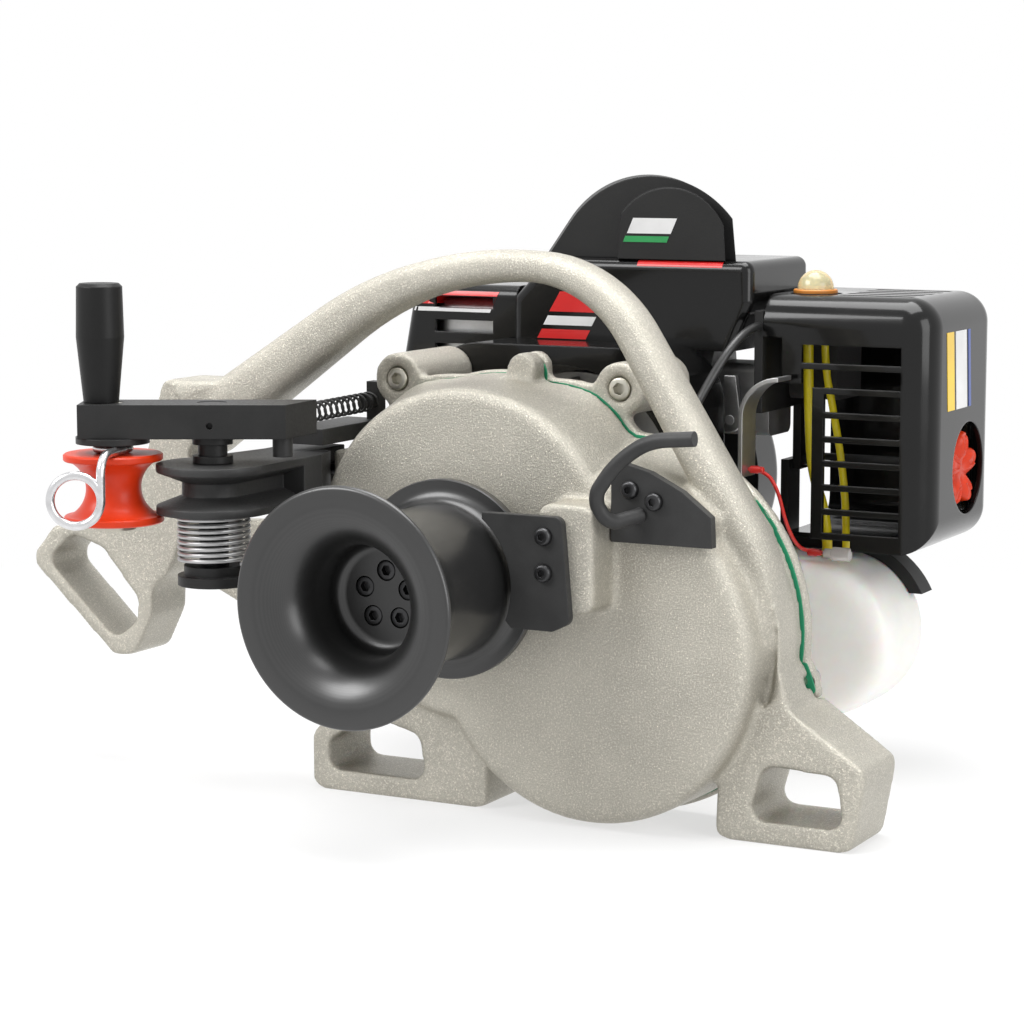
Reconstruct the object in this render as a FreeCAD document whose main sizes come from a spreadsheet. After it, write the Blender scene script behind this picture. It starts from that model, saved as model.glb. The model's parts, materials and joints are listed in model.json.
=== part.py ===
"""Portable petrol-engine capstan winch.

Built about the drum axis: X to the right of the case, Y back from the case face to the engine, Z up.
Lengths are millimetres. At the end everything is set down with the origin under its middle, on the ground.
"""
import FreeCAD
import Part
import Sketcher
import math
import os
from types import SimpleNamespace
from FreeCAD import Placement, Rotation, Vector

# Driving dimensions
SIZES = {
    # gear case
    "axis_height": 133.0, "case_depth": 52.0, "case_wall": 6.0, "face_wall": 7.0, "rim_round": 7.0,
    "lobe_a_radius": 91.0, "lobe_a_rise": 10.8, "lobe_b_radius": 93.5, "lobe_draft": 13.0,
    "lobe_b_draft": 10.0, "flange_lip": 2.5, "gasket_thick": 1.0, "rear_wall": 8.0, "cut_overrun": 2.0,
    "joint_gap": 0.3, "running_gap": 0.05,
    "ear_radius": 10.0, "ear_depth": 14.0, "case_screw_radius": 3.0, "case_screw_length": 18.0,
    "case_screw_head": 5.0,
    # gears
    "tooth_module": 2.0, "input_teeth": 20.0, "lay_gear_teeth": 83.0, "lay_pinion_teeth": 13.0,
    "final_teeth": 73.0, "lay_angle": 26.1, "gear_width": 12.0, "gear_gap": 2.5,
    # drum and its shaft
    "drum_mouth_radius": 63.0, "drum_mouth_y": 126.8, "drum_barrel_radius": 42.0, "drum_flange_radius": 54.6,
    "drum_flange_y": 13.0, "drum_flange_thick": 5.5, "drum_root_fillet": 8.0, "drum_flare_y": 80.0,
    "drum_rim": 4.8, "drum_lip": 27.0, "drum_throat_radius": 30.0, "drum_floor_y": 80.0, "drum_floor": 10.0,
    "drum_bolt_circle": 13.5, "drum_bolt_radius": 3.0, "drum_bolt_head": 5.3, "drum_bolt_length": 16.0,
    "drum_bolt_count": 5.0, "drum_shaft_radius": 12.5, "drum_socket_radius": 22.0,
    "drum_bearing_radius": 23.5, "drum_bearing_width": 12.0, "drum_boss_radius": 31.0,
    "drum_boss_front": 11.0,
    # layshaft and input shaft
    "lay_shaft_radius": 7.5, "lay_bearing_radius": 16.0, "lay_bearing_width": 8.0, "lay_boss_radius": 22.0,
    # clutch
    "bell_gap": 8.0, "bell_wall": 3.0, "bell_depth": 22.0, "bell_start": 71.0, "shoe_gap": 2.0,
    "shoe_hub_radius": 12.0, "bell_housing_radius": 54.0, "bell_housing_wall": 6.0,
    # handle
    "handle_y": 28.0, "handle_thick": 15.0, "handle_depth": 27.0, "handle_start_x": 190.0,
    "handle_start_z": 86.0, "handle_slope_angle": 30.5, "handle_run": 142.0, "handle_crown_radius": 165.0,
    "handle_crown_angle": 45.0, "handle_bend_radius": 63.0, "handle_bend_angle": 42.0,
    "handle_leg_run": 140.0, "handle_root_radius": 111.0, "handle_root_angle": 50.0,
    # feet and anchor
    "foot_front_y": 13.0, "foot_depth": 49.0, "foot_round": 7.0, "foot_bar": 12.0,
    "right_foot_x": 146.0, "right_foot_width": 86.0, "right_foot_height": 78.0, "left_foot_x": 104.0,
    "left_foot_width": 114.0, "left_foot_height": 72.0, "arm_left_x": 302.0, "arm_width": 144.0,
    "arm_low_z": 68.5, "arm_height": 166.5, "web_left_x": 196.0, "web_width": 112.0, "web_low_z": 46.0,
    "web_height": 66.0, "anchor_front_y": 13.0, "anchor_depth": 37.0, "web_y": 34.0, "web_thick": 12.0,
    # rope stripper, hook plate
    "stripper_y": 30.0, "stripper_thick": 5.0, "stripper_gap": 5.0, "stripper_width": 37.0,
    "stripper_height": 40.0, "stripper_drop": 21.0, "boss_left_x": 60.0, "boss_right_x": 93.0,
    "boss_top_z": 46.0, "boss_drop": 12.0, "button_radius": 5.0, "button_height": 3.5, "button_shank": 3.0,
    "hook_thick": 6.0, "hook_edge_radius": 108.5, "hook_rod_radius": 4.0, "hook_low_z": 25.5,
    "hook_left_x": 94.0, "hook_right_x": 152.0,
    # rope guide and clamp lever
    "pivot_x": 119.0, "pivot_y": 62.0, "nose_radius": 31.0, "nose_top_z": 61.4, "nose_bottom_z": 34.4,
    "nose_flange": 7.0, "groove_radius": 17.0, "groove_run": 44.0, "guide_rear_y": 50.0,
    "guide_rear_width": 30.0, "guide_bar_drop": 23.4, "guide_seat_x": 103.0, "guide_shoulder_y": 22.0,
    "pivot_radius": 8.0, "lever_bottom_z": 76.0,
    "lever_thick": 18.5, "lever_width": 32.0, "lever_left": 71.0, "lever_right": 41.0, "lever_bevel": 14.5,
    "lever_angle": 27.7, "roller_arm": 54.2, "grip_arm": 60.0, "grip_length": 64.5, "grip_radius": 13.0,
    "grip_foot_radius": 9.5, "collar_radius": 11.0, "collar_height": 4.0, "stop_arm": 38.0,
    "stop_radius": 5.5, "stop_length": 11.0,
    # roller and ring clip
    "roller_radius": 27.0, "roller_waist": 15.0, "roller_rim": 4.0, "roller_bottom_z": 29.0,
    "roller_top_z": 67.0, "roller_axle_radius": 6.0, "washer_radius": 20.0, "washer_height": 3.5,
    "ring_radius": 13.5, "ring_wire": 2.4, "ring_drop": 24.0, "ring_reach": 38.5,
    # springs
    "twist_radius": 19.0, "twist_wire": 1.25, "twist_turn_count": 8.0, "twist_height": 28.0,
    "spring_bush_height": 5.4, "spring_plate_height": 5.4, "spring_plate_radius": 20.0,
    "spring_bush_radius": 16.5, "pull_radius": 5.0, "pull_wire": 0.8, "pull_turn_count": 13.0,
    "bracket_thick": 9.0, "bracket_width": 26.0,
    "bracket_right_x": 92.0, "bracket_front_y": 8.0, "bracket_rear_y": 78.0, "bracket_lug": 8.0,
    "bracket_lug_height": 22.0,
    # engine blocks
    "engine_face": 118.0, "bolt_spacing": 140.0, "low_bolt_spacing": 76.0, "low_bolt_drop": 78.0,
    "bolt_radius": 4.0, "bolt_head_radius": 6.5, "bolt_head_height": 8.0, "column_radius": 15.0,
    "fan_half": 87.0, "fan_round": 34.0, "fan_depth": 42.0,
    "fan_bore": 76.0, "flywheel_radius": 70.0, "flywheel_width": 26.0, "crank_radius": 12.0,
    "crankcase_half": 50.0, "crankcase_depth": 78.0, "crankcase_drop": 36.0, "crankcase_rise": 55.0,
    "cylinder_y": 201.0, "cylinder_core": 24.0, "cylinder_fin": 33.0, "cylinder_height": 58.0,
    "fin_count": 7.0, "fin_share": 0.4,
    # engine covers
    "shroud_left_x": 52.0, "shroud_right_x": 102.0, "shroud_top_z": 166.0, "shroud_low_z": 114.0,
    "shroud_front_y": 160.5, "shroud_depth": 90.0, "shroud_wall": 3.0, "shroud_round": 10.0,
    "hump_left_x": 34.0, "hump_right_x": 88.0, "hump_height": 48.0, "hump_front_y": 172.0, "hump_depth": 56.0,
    "guard_left_x": 140.0, "guard_low_z": 62.0, "guard_top_z": 148.0, "guard_front_y": 166.0,
    "guard_depth": 72.0, "guard_wall": 2.5, "guard_lean": 16.0, "muffler_margin": 9.0,
    "starter_radius": 76.0, "starter_depth": 40.0, "starter_round": 12.0, "starter_grip_length": 44.0,
    "starter_grip_radius": 8.0,
    # air filter and carburettor
    "filter_left_x": 108.0, "filter_right_x": 210.0, "filter_front_y": 165.0, "filter_depth": 113.0,
    "filter_low_z": 2.0, "filter_top_z": 147.0, "filter_wall": 3.0, "filter_round": 18.0, "slat_count": 8.0,
    "slat_thick": 3.6, "grille_low": 10.0, "grille_high": 24.0, "grille_left_x": 146.0,
    "window_right_x": 139.0,
    "window_top_z": 97.0, "base_thick": 5.0, "element_depth": 30.0, "element_margin": 16.0,
    "knob_y": 232.0, "knob_z": 46.0, "knob_radius": 23.0, "knob_depth": 14.0, "knob_hole": 27.0,
    "primer_x": 128.0, "primer_y": 196.0, "primer_radius": 10.5, "primer_height": 17.0, "primer_base": 7.5,
    "primer_travel": 5.0, "carb_y": 205.0, "carb_z": 84.0, "carb_width": 34.0, "carb_height": 42.0,
    "intake_radius": 18.0,
    # fuel tank
    "tank_left_x": 70.0, "tank_right_x": 186.0, "tank_front_y": 169.0, "tank_depth": 68.0,
    "tank_height": 94.0, "tank_end_radius": 46.0, "tank_round": 14.0, "cap_radius": 22.0, "cap_depth": 14.0,
    "neck_radius": 17.0, "neck_length": 8.0, "stand_half": 58.0, "stand_leg": 12.0, "stand_plate": 6.0,
    "stand_margin": 6.0, "clip_thick": 7.0,
    # throttle and lines
    "strap_thick": 2.5, "strap_width": 20.0, "strap_radius": 24.0, "strap_x": 104.0, "strap_low_z": 44.0,
    "strap_crown_z": 78.0, "throttle_length": 26.0,
    "throttle_thick": 4.0, "throttle_eye": 7.0, "throttle_pin": 3.0, "hose_radius": 3.0,
    "thin_hose_radius": 2.2, "cable_radius": 2.5, "wire_radius": 1.1, "connector_radius": 4.0,
    "connector_length": 16.0,
}


class Size(float):
    """A number that remembers the sheet expression it came from."""

    def __new__(cls, value, text):
        size = float.__new__(cls, value)
        size.text = text
        return size

    def join(self, other, sign, value, swap=False):
        mine = self.text
        theirs = other.text if isinstance(other, Size) else repr(float(other))
        first, second = (theirs, mine) if swap else (mine, theirs)
        return Size(value, f"({first} {sign} {second})")

    def __add__(self, other):
        return self.join(other, "+", float(self) + float(other))

    def __radd__(self, other):
        return self.join(other, "+", float(other) + float(self), True)

    def __sub__(self, other):
        return self.join(other, "-", float(self) - float(other))

    def __rsub__(self, other):
        return self.join(other, "-", float(other) - float(self), True)

    def __mul__(self, other):
        return self.join(other, "*", float(self) * float(other))

    def __rmul__(self, other):
        return self.join(other, "*", float(other) * float(self), True)

    def __truediv__(self, other):
        return self.join(other, "/", float(self) / float(other))

    def __neg__(self):
        return Size(-float(self), f"(-1 * {self.text})")


doc = FreeCAD.newDocument("capstan_winch")
sheet = doc.addObject("Spreadsheet::Sheet", "Sizes")
for row, (alias, number) in enumerate(SIZES.items(), 1):
    sheet.set(f"A{row}", alias)
    sheet.set(f"B{row}", str(number))
    sheet.setAlias(f"B{row}", alias)
doc.recompute()
s = SimpleNamespace(**{alias: Size(sheet.get(alias), f"Sizes.{alias}") for alias in SIZES})
nodes = {}

ALONG_X = Rotation(Vector(0, 1, 0), 90)
ALONG_Y = Rotation(Vector(1, 0, 0), -90)
UPRIGHT = Rotation()
FULL_TURN = 360
SQUARE = math.pi / 2


# Shared places worked out from the driving dimensions
lay_distance = s.tooth_module * (s.lay_pinion_teeth + s.final_teeth) / 2
input_distance = s.tooth_module * (s.input_teeth + s.lay_gear_teeth) / 2
lay_x = float(lay_distance) * math.cos(math.radians(s.lay_angle))
lay_z = -float(lay_distance) * math.sin(math.radians(s.lay_angle))
engine_z = lay_z + math.sqrt(float(input_distance) ** 2 - lay_x ** 2)
gasket_y = s.case_depth
rear_y = s.case_depth + s.gasket_thick
rear_end_y = rear_y + s.rear_wall
final_y = s.drum_bearing_width * 2 - s.drum_boss_front + s.joint_gap * 2 + s.face_wall + s.gear_gap / 2
lay_gear_y = final_y + s.gear_width + s.gear_gap
ground_z = -s.axis_height
lever_direction = Vector(math.cos(math.radians(s.lever_angle)), math.sin(math.radians(s.lever_angle)), 0)
lever_side = Vector(-lever_direction.y, lever_direction.x, 0)
pivot = Vector(-s.pivot_x, -s.pivot_y, 0)
roller_place = pivot - lever_direction * float(s.roller_arm)
lever_top_z = s.lever_bottom_z + s.lever_thick
crankcase_y = s.engine_face + s.fan_depth
crankcase_top = engine_z + s.crankcase_rise
crankcase_low = engine_z - s.crankcase_drop
starter_y = crankcase_y + s.crankcase_depth
bell_radius = s.bell_housing_radius - s.bell_housing_wall - s.bell_gap
cup_top = s.filter_top_z + s.joint_gap
bulb_low = cup_top - s.primer_base / 2
cup_floor = bulb_low - s.primer_travel - s.joint_gap


# Sketches, bodies and simple solids
def bind(item, path, size):
    """Ties one property of an item to the sheet."""
    if isinstance(size, Size):
        item.setExpression(path, size.text)


def arc_between(start, end, radius, left):
    """The short arc from start to end, turning left or right, as sketch geometry with its two ends."""
    chord = end - start
    middle = (start + end) * 0.5
    side = Vector(-chord.y, chord.x, 0).normalize() * (1 if left else -1)
    centre = middle + side * math.sqrt(max(radius ** 2 - chord.Length ** 2 / 4, 0))
    first, last = (start, end) if left else (end, start)
    angles = [math.atan2(point.y - centre.y, point.x - centre.x) for point in (first, last)]
    if angles[1] < angles[0]:
        angles[1] += 2 * math.pi
    arc = Part.ArcOfCircle(Part.Circle(centre, Vector(0, 0, 1), radius), *angles)
    return (arc, 1, 2) if left else (arc, 2, 1)


def draw(sketch, corners, holes=()):
    """Draws one closed outline and round holes; each corner may carry the radius and side of its next arc."""
    rules = []
    ties = []
    ends = []

    def tie(rule, size):
        rules.append(rule)
        ties.append((len(rules) - 1, size))

    def pin_point(item, spot, across, up):
        for kind, axis, size in (("DistanceX", -2, across), ("DistanceY", -1, up)):
            if float(size) == 0:
                rules.append(Sketcher.Constraint("PointOnObject", item, spot, axis))
            else:
                tie(Sketcher.Constraint(kind, -1, 1, item, spot, float(size)), size)

    for index, corner in enumerate(corners):
        following = corners[(index + 1) % len(corners)]
        start = Vector(float(corner[0]), float(corner[1]), 0)
        end = Vector(float(following[0]), float(following[1]), 0)
        if len(corner) == 2:
            item = sketch.addGeometry(Part.LineSegment(start, end))
            ends.append((item, 1, 2))
        else:
            arc, first, last = arc_between(start, end, float(corner[2]), corner[3] == "left")
            item = sketch.addGeometry(arc)
            ends.append((item, first, last))
            tie(Sketcher.Constraint("Radius", item, float(corner[2])), corner[2])
        pin_point(item, ends[-1][1], corner[0], corner[1])
    for index, (item, first, last) in enumerate(ends):
        following = ends[(index + 1) % len(ends)]
        rules.append(Sketcher.Constraint("Coincident", item, last, following[0], following[1]))
    for across, up, radius in holes:
        circle = Part.Circle(Vector(float(across), float(up), 0), Vector(0, 0, 1), float(radius))
        item = sketch.addGeometry(circle)
        pin_point(item, 3, across, up)
        tie(Sketcher.Constraint("Radius", item, float(radius)), radius)
    first_rule = sketch.addConstraint(rules)[0]
    for index, size in ties:
        bind(sketch, f"Constraints[{first_rule + index}]", size)


def new_sketch(label):
    """A body with one sketch on its upright origin plane."""
    body = doc.addObject("PartDesign::Body", label)
    sketch = body.newObject("Sketcher::SketchObject", label + "_outline")
    plane = next(item for item in body.Origin.OriginFeatures if item.Role == "XZ_Plane")
    sketch.AttachmentSupport = [(plane, "")]
    sketch.MapMode = "FlatFace"
    return body, sketch


def turned(label, corners, place=Vector(), turn=UPRIGHT):
    """A piece turned about its own Z axis; corners are radius and height."""
    body, sketch = new_sketch(label)
    draw(sketch, corners)
    spin = body.newObject("PartDesign::Revolution", label + "_turn")
    spin.Profile = sketch
    spin.ReferenceAxis = (sketch, ["V_Axis"])
    spin.Angle = FULL_TURN
    body.Tip = spin
    body.Placement = Placement(place, turn)
    nodes[label] = body
    return body


def ring(label, inner, outer, length, place, turn=UPRIGHT):
    """A plain ring or bush."""
    return turned(label, [(inner, 0), (outer, 0), (outer, length), (inner, length)], place, turn)


def plate(label, corners, depth, place=Vector(), holes=()):
    """A flat outline in X and Z given depth back along Y."""
    body, sketch = new_sketch(label)
    draw(sketch, corners, holes)
    pad = body.newObject("PartDesign::Pad", label + "_pad")
    pad.Profile = sketch
    pad.Length = float(depth)
    bind(pad, "Length", depth)
    pad.Reversed = True
    body.Tip = pad
    body.Placement = Placement(place, UPRIGHT)
    nodes[label] = body
    return body


def feature(label, shape):
    """A sub-part whose shape is worked out here."""
    item = doc.addObject("Part::Feature", label)
    item.Shape = shape
    nodes[label] = item
    return item


def rod(radius, length, place, direction=Vector(0, 1, 0)):
    """A loose round bar used inside features."""
    return Part.makeCylinder(float(radius), float(length), place, direction)


def block(left, right, front, back, low, top):
    """A loose box between six faces."""
    return Part.makeBox(float(right - left), float(back - front), float(top - low),
                        Vector(float(left), float(front), float(low)))


def prism(corners, front, depth):
    """A loose solid: straight outline in X and Z, given depth along Y."""
    points = [Vector(float(across), float(front), float(up)) for across, up in corners]
    face = Part.Face(Part.makePolygon(points + points[:1]))
    return face.extrude(Vector(0, float(depth), 0))


def round_edges(solid, radius, wanted):
    """Rounds the edges that the test picks."""
    edges = [edge for edge in solid.Edges if wanted(edge)]
    return solid.makeFillet(float(radius), edges)


def runs_along(direction):
    """An edge test: straight and along the direction."""
    def test(edge):
        if not isinstance(edge.Curve, (Part.Line, Part.LineSegment)):
            return False
        return abs(edge.tangentAt(edge.FirstParameter).dot(direction)) > 0.999
    return test


def one_solid(shape):
    """Joins split faces and hands back the single solid."""
    clean = shape.removeSplitter()
    return clean.Solids[0] if len(clean.Solids) == 1 else clean


# Paths and tubes
def arc_from(start, heading, end):
    """The arc that leaves start along heading and ends at end."""
    chord = end - start
    lean = heading.getAngle(chord)
    if lean < 1e-6:
        return Part.LineSegment(start, end)
    across = (heading - chord * (heading.dot(chord) / chord.Length ** 2)).normalize()
    crown = (start + end) * 0.5 + across * (chord.Length / 2 * math.tan(lean / 2))
    return Part.Arc(start, crown, end)


def biarc(start, heading, end, arriving):
    """Two arcs that join start to end with the given headings."""
    span = end - start
    both = heading + arriving
    spread = 2 * (1 - heading.dot(arriving))
    lead = span.dot(both)
    reach = (-lead + math.sqrt(lead ** 2 + spread * span.dot(span))) / spread
    middle = (start + end + (heading - arriving) * reach) * 0.5
    first = arc_from(start, heading, middle)
    second_back = arc_from(end, arriving * -1, middle)
    crown = second_back.value((second_back.FirstParameter + second_back.LastParameter) / 2)
    return [first, Part.Arc(middle, crown, end)]


def tube(path, radius):
    """A round tube along a chain of curves."""
    wire = Part.Wire([curve.toShape() for curve in path])
    start = wire.Edges[0]
    heading = start.tangentAt(start.FirstParameter)
    section = Part.Wire([Part.Circle(start.valueAt(start.FirstParameter), heading, float(radius)).toShape()])
    return wire.makePipeShell([section], True, False).Solids[0]


def rounded_route(label, points):
    """Straight runs joined by tangent arcs, each as large as its two runs allow."""
    bend_share = 0.45
    curves = []
    radii = []
    last = points[0]
    for before, corner, after in zip(points, points[1:], points[2:]):
        arriving = corner - before
        leaving = after - corner
        turn = arriving.getAngle(leaving)
        reach = bend_share * min(arriving.Length, leaving.Length)
        entry = corner - arriving.normalize() * reach
        departure = corner + leaving.normalize() * reach
        radii.append(reach / math.tan(turn / 2))
        curves.append(Part.LineSegment(last, entry))
        curves.append(arc_from(entry, arriving, departure))
        last = departure
    curves.append(Part.LineSegment(last, points[-1]))
    print(label, "bend radii", [round(radius, 1) for radius in radii])
    return curves


def hose(label, points, radius):
    """A held hose or wire along its route, with its volume compared."""
    path = rounded_route(label, points)
    solid = tube(path, radius)
    length = sum(curve.length() for curve in path)
    share = solid.Volume / (length * math.pi * radius ** 2)
    print(label, "length", round(length, 1), "volume share", round(share, 4))
    return solid


def coil_path(origin, axis, across, radius, pitch, turns, tail):
    """A helix of half-turn biarcs with straight ends."""
    along = axis.normalize()
    side = along.cross(across)
    climb = pitch / (2 * math.pi)

    def spot(angle):
        return (origin + across * (radius * math.cos(angle)) + side * (radius * math.sin(angle))
                + along * (climb * angle))

    def heading(angle):
        way = across * (-radius * math.sin(angle)) + side * (radius * math.cos(angle)) + along * climb
        return way.normalize()

    steps = [math.pi * index for index in range(int(turns * 2) + 1)]
    curves = [Part.LineSegment(spot(0) - heading(0) * tail, spot(0))]
    for low, high in zip(steps, steps[1:]):
        curves += biarc(spot(low), heading(low), spot(high), heading(high))
    curves.append(Part.LineSegment(spot(steps[-1]), spot(steps[-1]) + heading(steps[-1]) * tail))
    return curves


def least_self_gap(label, path, wire, apart):
    """Measures on points how near the tube comes to itself."""
    points = []
    travelled = 0
    count = 12
    for curve in path:
        length = curve.length()
        span = curve.LastParameter - curve.FirstParameter
        for index in range(count):
            share = index / count
            points.append((travelled + length * share, curve.value(curve.FirstParameter + span * share)))
        travelled += length
    nearest = min(one[1].distanceToPoint(other[1]) for index, one in enumerate(points)
                  for other in points[index + 1:] if other[0] - one[0] > apart)
    print(label, "least gap to itself", round(nearest - 2 * wire, 2))


# Gears
def gear_profile(teeth):
    """One tooth of a spur gear in polar shares: radius and half angle from root to tip."""
    stub_share = 0.85
    root_share = 1.2
    thick_share = 0.44
    pressure = math.radians(20)
    pitch_radius = float(s.tooth_module * teeth / 2)
    base = pitch_radius * math.cos(pressure)
    half_pitch = math.pi * thick_share / teeth
    involute = math.tan(pressure) - pressure
    tip = pitch_radius + float(s.tooth_module) * stub_share
    root = pitch_radius - float(s.tooth_module) * root_share
    profile = []
    for radius in (max(base, root), pitch_radius, tip):
        lean = math.acos(min(base / radius, 1))
        profile.append((radius, half_pitch + involute - (math.tan(lean) - lean)))
    if root < base:
        profile.insert(0, (root, profile[0][1]))
    return profile


def gear_solid(teeth, width, start_angle, bore=0):
    """A spur gear about Z with a tooth centred on the start angle."""
    profile = gear_profile(float(teeth))
    flank = [(radius, -half) for radius, half in profile]
    flank += [(radius, half) for radius, half in reversed(profile)]
    points = []
    for index in range(int(teeth)):
        centre = start_angle + 2 * math.pi * index / float(teeth)
        points += [Vector(radius * math.cos(centre + half), radius * math.sin(centre + half), 0)
                   for radius, half in flank]
    gear = Part.Face(Part.makePolygon(points + points[:1])).extrude(Vector(0, 0, float(width)))
    if bore:
        gear = gear.cut(rod(bore, width, Vector(), Vector(0, 0, 1)))
    return gear


def facing_angle(dx, dz):
    """The angle, in a gear laid along Y, of a direction in X and Z."""
    return math.atan2(-dz, dx)


def lay_along_y(solid, across, front, up):
    """Turns a solid made about Z so that it lies along Y, and sets it in place."""
    solid.Placement = Placement(Vector(float(across), float(front), float(up)), ALONG_Y)
    return solid


# Case castings
def lobe(radius, draft, raised, centre_x, centre_z, inset, front, back):
    """A drafted round lobe with a rounded front rim, smaller by the inset; its rear circle is raised."""
    wires = []
    for y in (front, back):
        share = y / float(s.case_depth)
        centre = Vector(centre_x, y, centre_z + float(raised) * share)
        circle = Part.Circle(centre, Vector(0, 1, 0), float(radius) + float(draft) * share - inset)
        wires.append(Part.Wire([circle.toShape()]))
    solid = Part.makeLoft(wires, True, True)
    return round_edges(solid, s.rim_round, lambda edge: abs(edge.CenterOfMass.y - front) < s.joint_gap
                       and len(edge.Vertexes) == 1)


def flange_rounds():
    """Radius and centre of each lobe at the gasket."""
    return [(float(s.lobe_a_radius + s.lobe_draft), 0, float(s.lobe_a_rise)),
            (float(s.lobe_b_radius + s.lobe_b_draft), lay_x, lay_z + float(s.lobe_b_draft))]


def lobes_slab(front, depth, inset=0.0):
    """A slab with the outline of both lobes at the gasket."""
    rounds = [rod(radius - inset, depth, Vector(x, float(front), z)) for radius, x, z in flange_rounds()]
    return rounds[0].fuse(rounds[1])


def both_lobes(inset, front, back):
    """Both drafted lobes as one solid."""
    upper = lobe(s.lobe_a_radius, s.lobe_draft, 0, 0, float(s.lobe_a_rise), inset, front, back)
    return upper.fuse(lobe(s.lobe_b_radius, s.lobe_b_draft, s.lobe_b_draft, lay_x, lay_z, inset, front, back))


def ear_places():
    """Centres of the screw ears round the gasket flange."""
    ear_degrees = [(80, 180, 228), (38, -13, -145)]
    places = []
    for (radius, x, z), degrees in zip(flange_rounds(), ear_degrees):
        reach = radius + float(s.case_screw_head)
        places += [(x + math.cos(math.radians(turn)) * reach, z + math.sin(math.radians(turn)) * reach)
                   for turn in degrees]
    return places


def handle_path():
    """The carrying arch: a sloping run, a wide crown, a tighter bend, the leg and its root along the lobe."""
    spot = Vector(-s.handle_start_x, s.handle_y, s.handle_start_z)
    angle = math.radians(s.handle_slope_angle)
    curves = []

    def run(length):
        nonlocal spot
        end = spot + Vector(math.cos(angle), 0, math.sin(angle)) * float(length)
        curves.append(Part.LineSegment(spot, end))
        spot = end

    def bend(radius, degrees):
        nonlocal spot, angle
        centre = spot + Vector(math.sin(angle), 0, -math.cos(angle)) * float(radius)
        turn = math.radians(degrees)
        points = []
        for share in (0.5, 1):
            lean = angle - turn * share
            points.append(centre + Vector(-math.sin(lean), 0, math.cos(lean)) * float(radius))
        curves.append(Part.Arc(spot, points[0], points[1]))
        spot = points[1]
        angle -= turn

    run(s.handle_run)
    bend(s.handle_crown_radius, s.handle_crown_angle)
    bend(s.handle_bend_radius, s.handle_bend_angle)
    run(s.handle_leg_run)
    bend(s.handle_root_radius, s.handle_root_angle)
    return curves


def handle_section(curve, share, thick_share, depth_share):
    """A rounded flat section across the arch, at a share of one of its curves."""
    spot = curve.FirstParameter + (curve.LastParameter - curve.FirstParameter) * share
    heading = curve.tangent(spot)[0]
    back = Vector(0, 1, 0)
    out = heading.cross(back)
    half_depth = float(s.handle_depth) * depth_share / 2
    half_thick = float(s.handle_thick) * thick_share / 2
    bend_share = 0.9
    bend = half_thick * bend_share
    middle = curve.value(spot)
    edges = []
    for side, up in ((back, out), (out, back * -1), (back * -1, out * -1), (out * -1, back)):
        wide, high = (half_depth, half_thick) if abs(side.y) > abs(up.y) else (half_thick, half_depth)
        corner = middle + side * (wide - bend) + up * (high - bend)
        first = middle + side * wide - up * (high - bend)
        last = middle + side * wide + up * (high - bend)
        edges.append(Part.LineSegment(first, last))
        edges.append(Part.Arc(last, corner + (side + up).normalize() * bend, corner + up * bend))
    return Part.Wire([edge.toShape() for edge in edges])


def handle_solid():
    """The arch, swept with a rounded flat section that is stouter at both ends."""
    curves = handle_path()
    path = Part.Wire([curve.toShape() for curve in curves])
    section_shares = [(0, 0, 1.5, 1.4), (1, 0.5, 1, 1), (3, 0, 1.1, 1), (4, 1, 1.7, 1.1)]
    sections = [handle_section(curves[index], *shares) for index, *shares in section_shares]
    return path.makePipeShell(sections, True, False).Solids[0]


def shaped(shares, left, low, width, height):
    """An outline from shares of a width and a height."""
    return [(float(left + width * across), float(low + height * up)) for across, up in shares]


def foot_loop(outer_shares, hole_shares, left, width, height):
    """A foot: a rounded loop on the ground with an opening for a strap."""
    loop = prism(shaped(outer_shares, left, ground_z, width, height), s.foot_front_y, s.foot_depth)
    loop = round_edges(loop, s.foot_round, runs_along(Vector(0, 1, 0)))
    hole = prism(shaped(hole_shares, left, ground_z + s.foot_bar, width, height),
                 s.foot_front_y - s.cut_overrun, s.foot_depth + s.cut_overrun * 2)
    return loop.cut(round_edges(hole, s.foot_round, runs_along(Vector(0, 1, 0))))


def right_foot():
    """The right foot: a slanted loop outside the lower lobe."""
    outer_shares = [(0, 0), (0.91, 0), (1, 0.56), (0.42, 1), (0.05, 0.77)]
    hole_shares = [(0.23, 0), (0.85, 0), (0.8, 0.36), (0.33, 0.38)]
    return foot_loop(outer_shares, hole_shares, s.right_foot_x, s.right_foot_width, s.right_foot_height)


def left_foot():
    """The left foot: a loop below the upper lobe."""
    outer_shares = [(0, 0), (1, 0), (1, 0.7), (0.37, 1), (0, 0.45)]
    hole_shares = [(0.1, 0), (0.65, 0), (0.61, 0.35), (0.33, 0.46), (0.1, 0.24)]
    return foot_loop(outer_shares, hole_shares, -s.left_foot_x, s.left_foot_width, s.left_foot_height)


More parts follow.
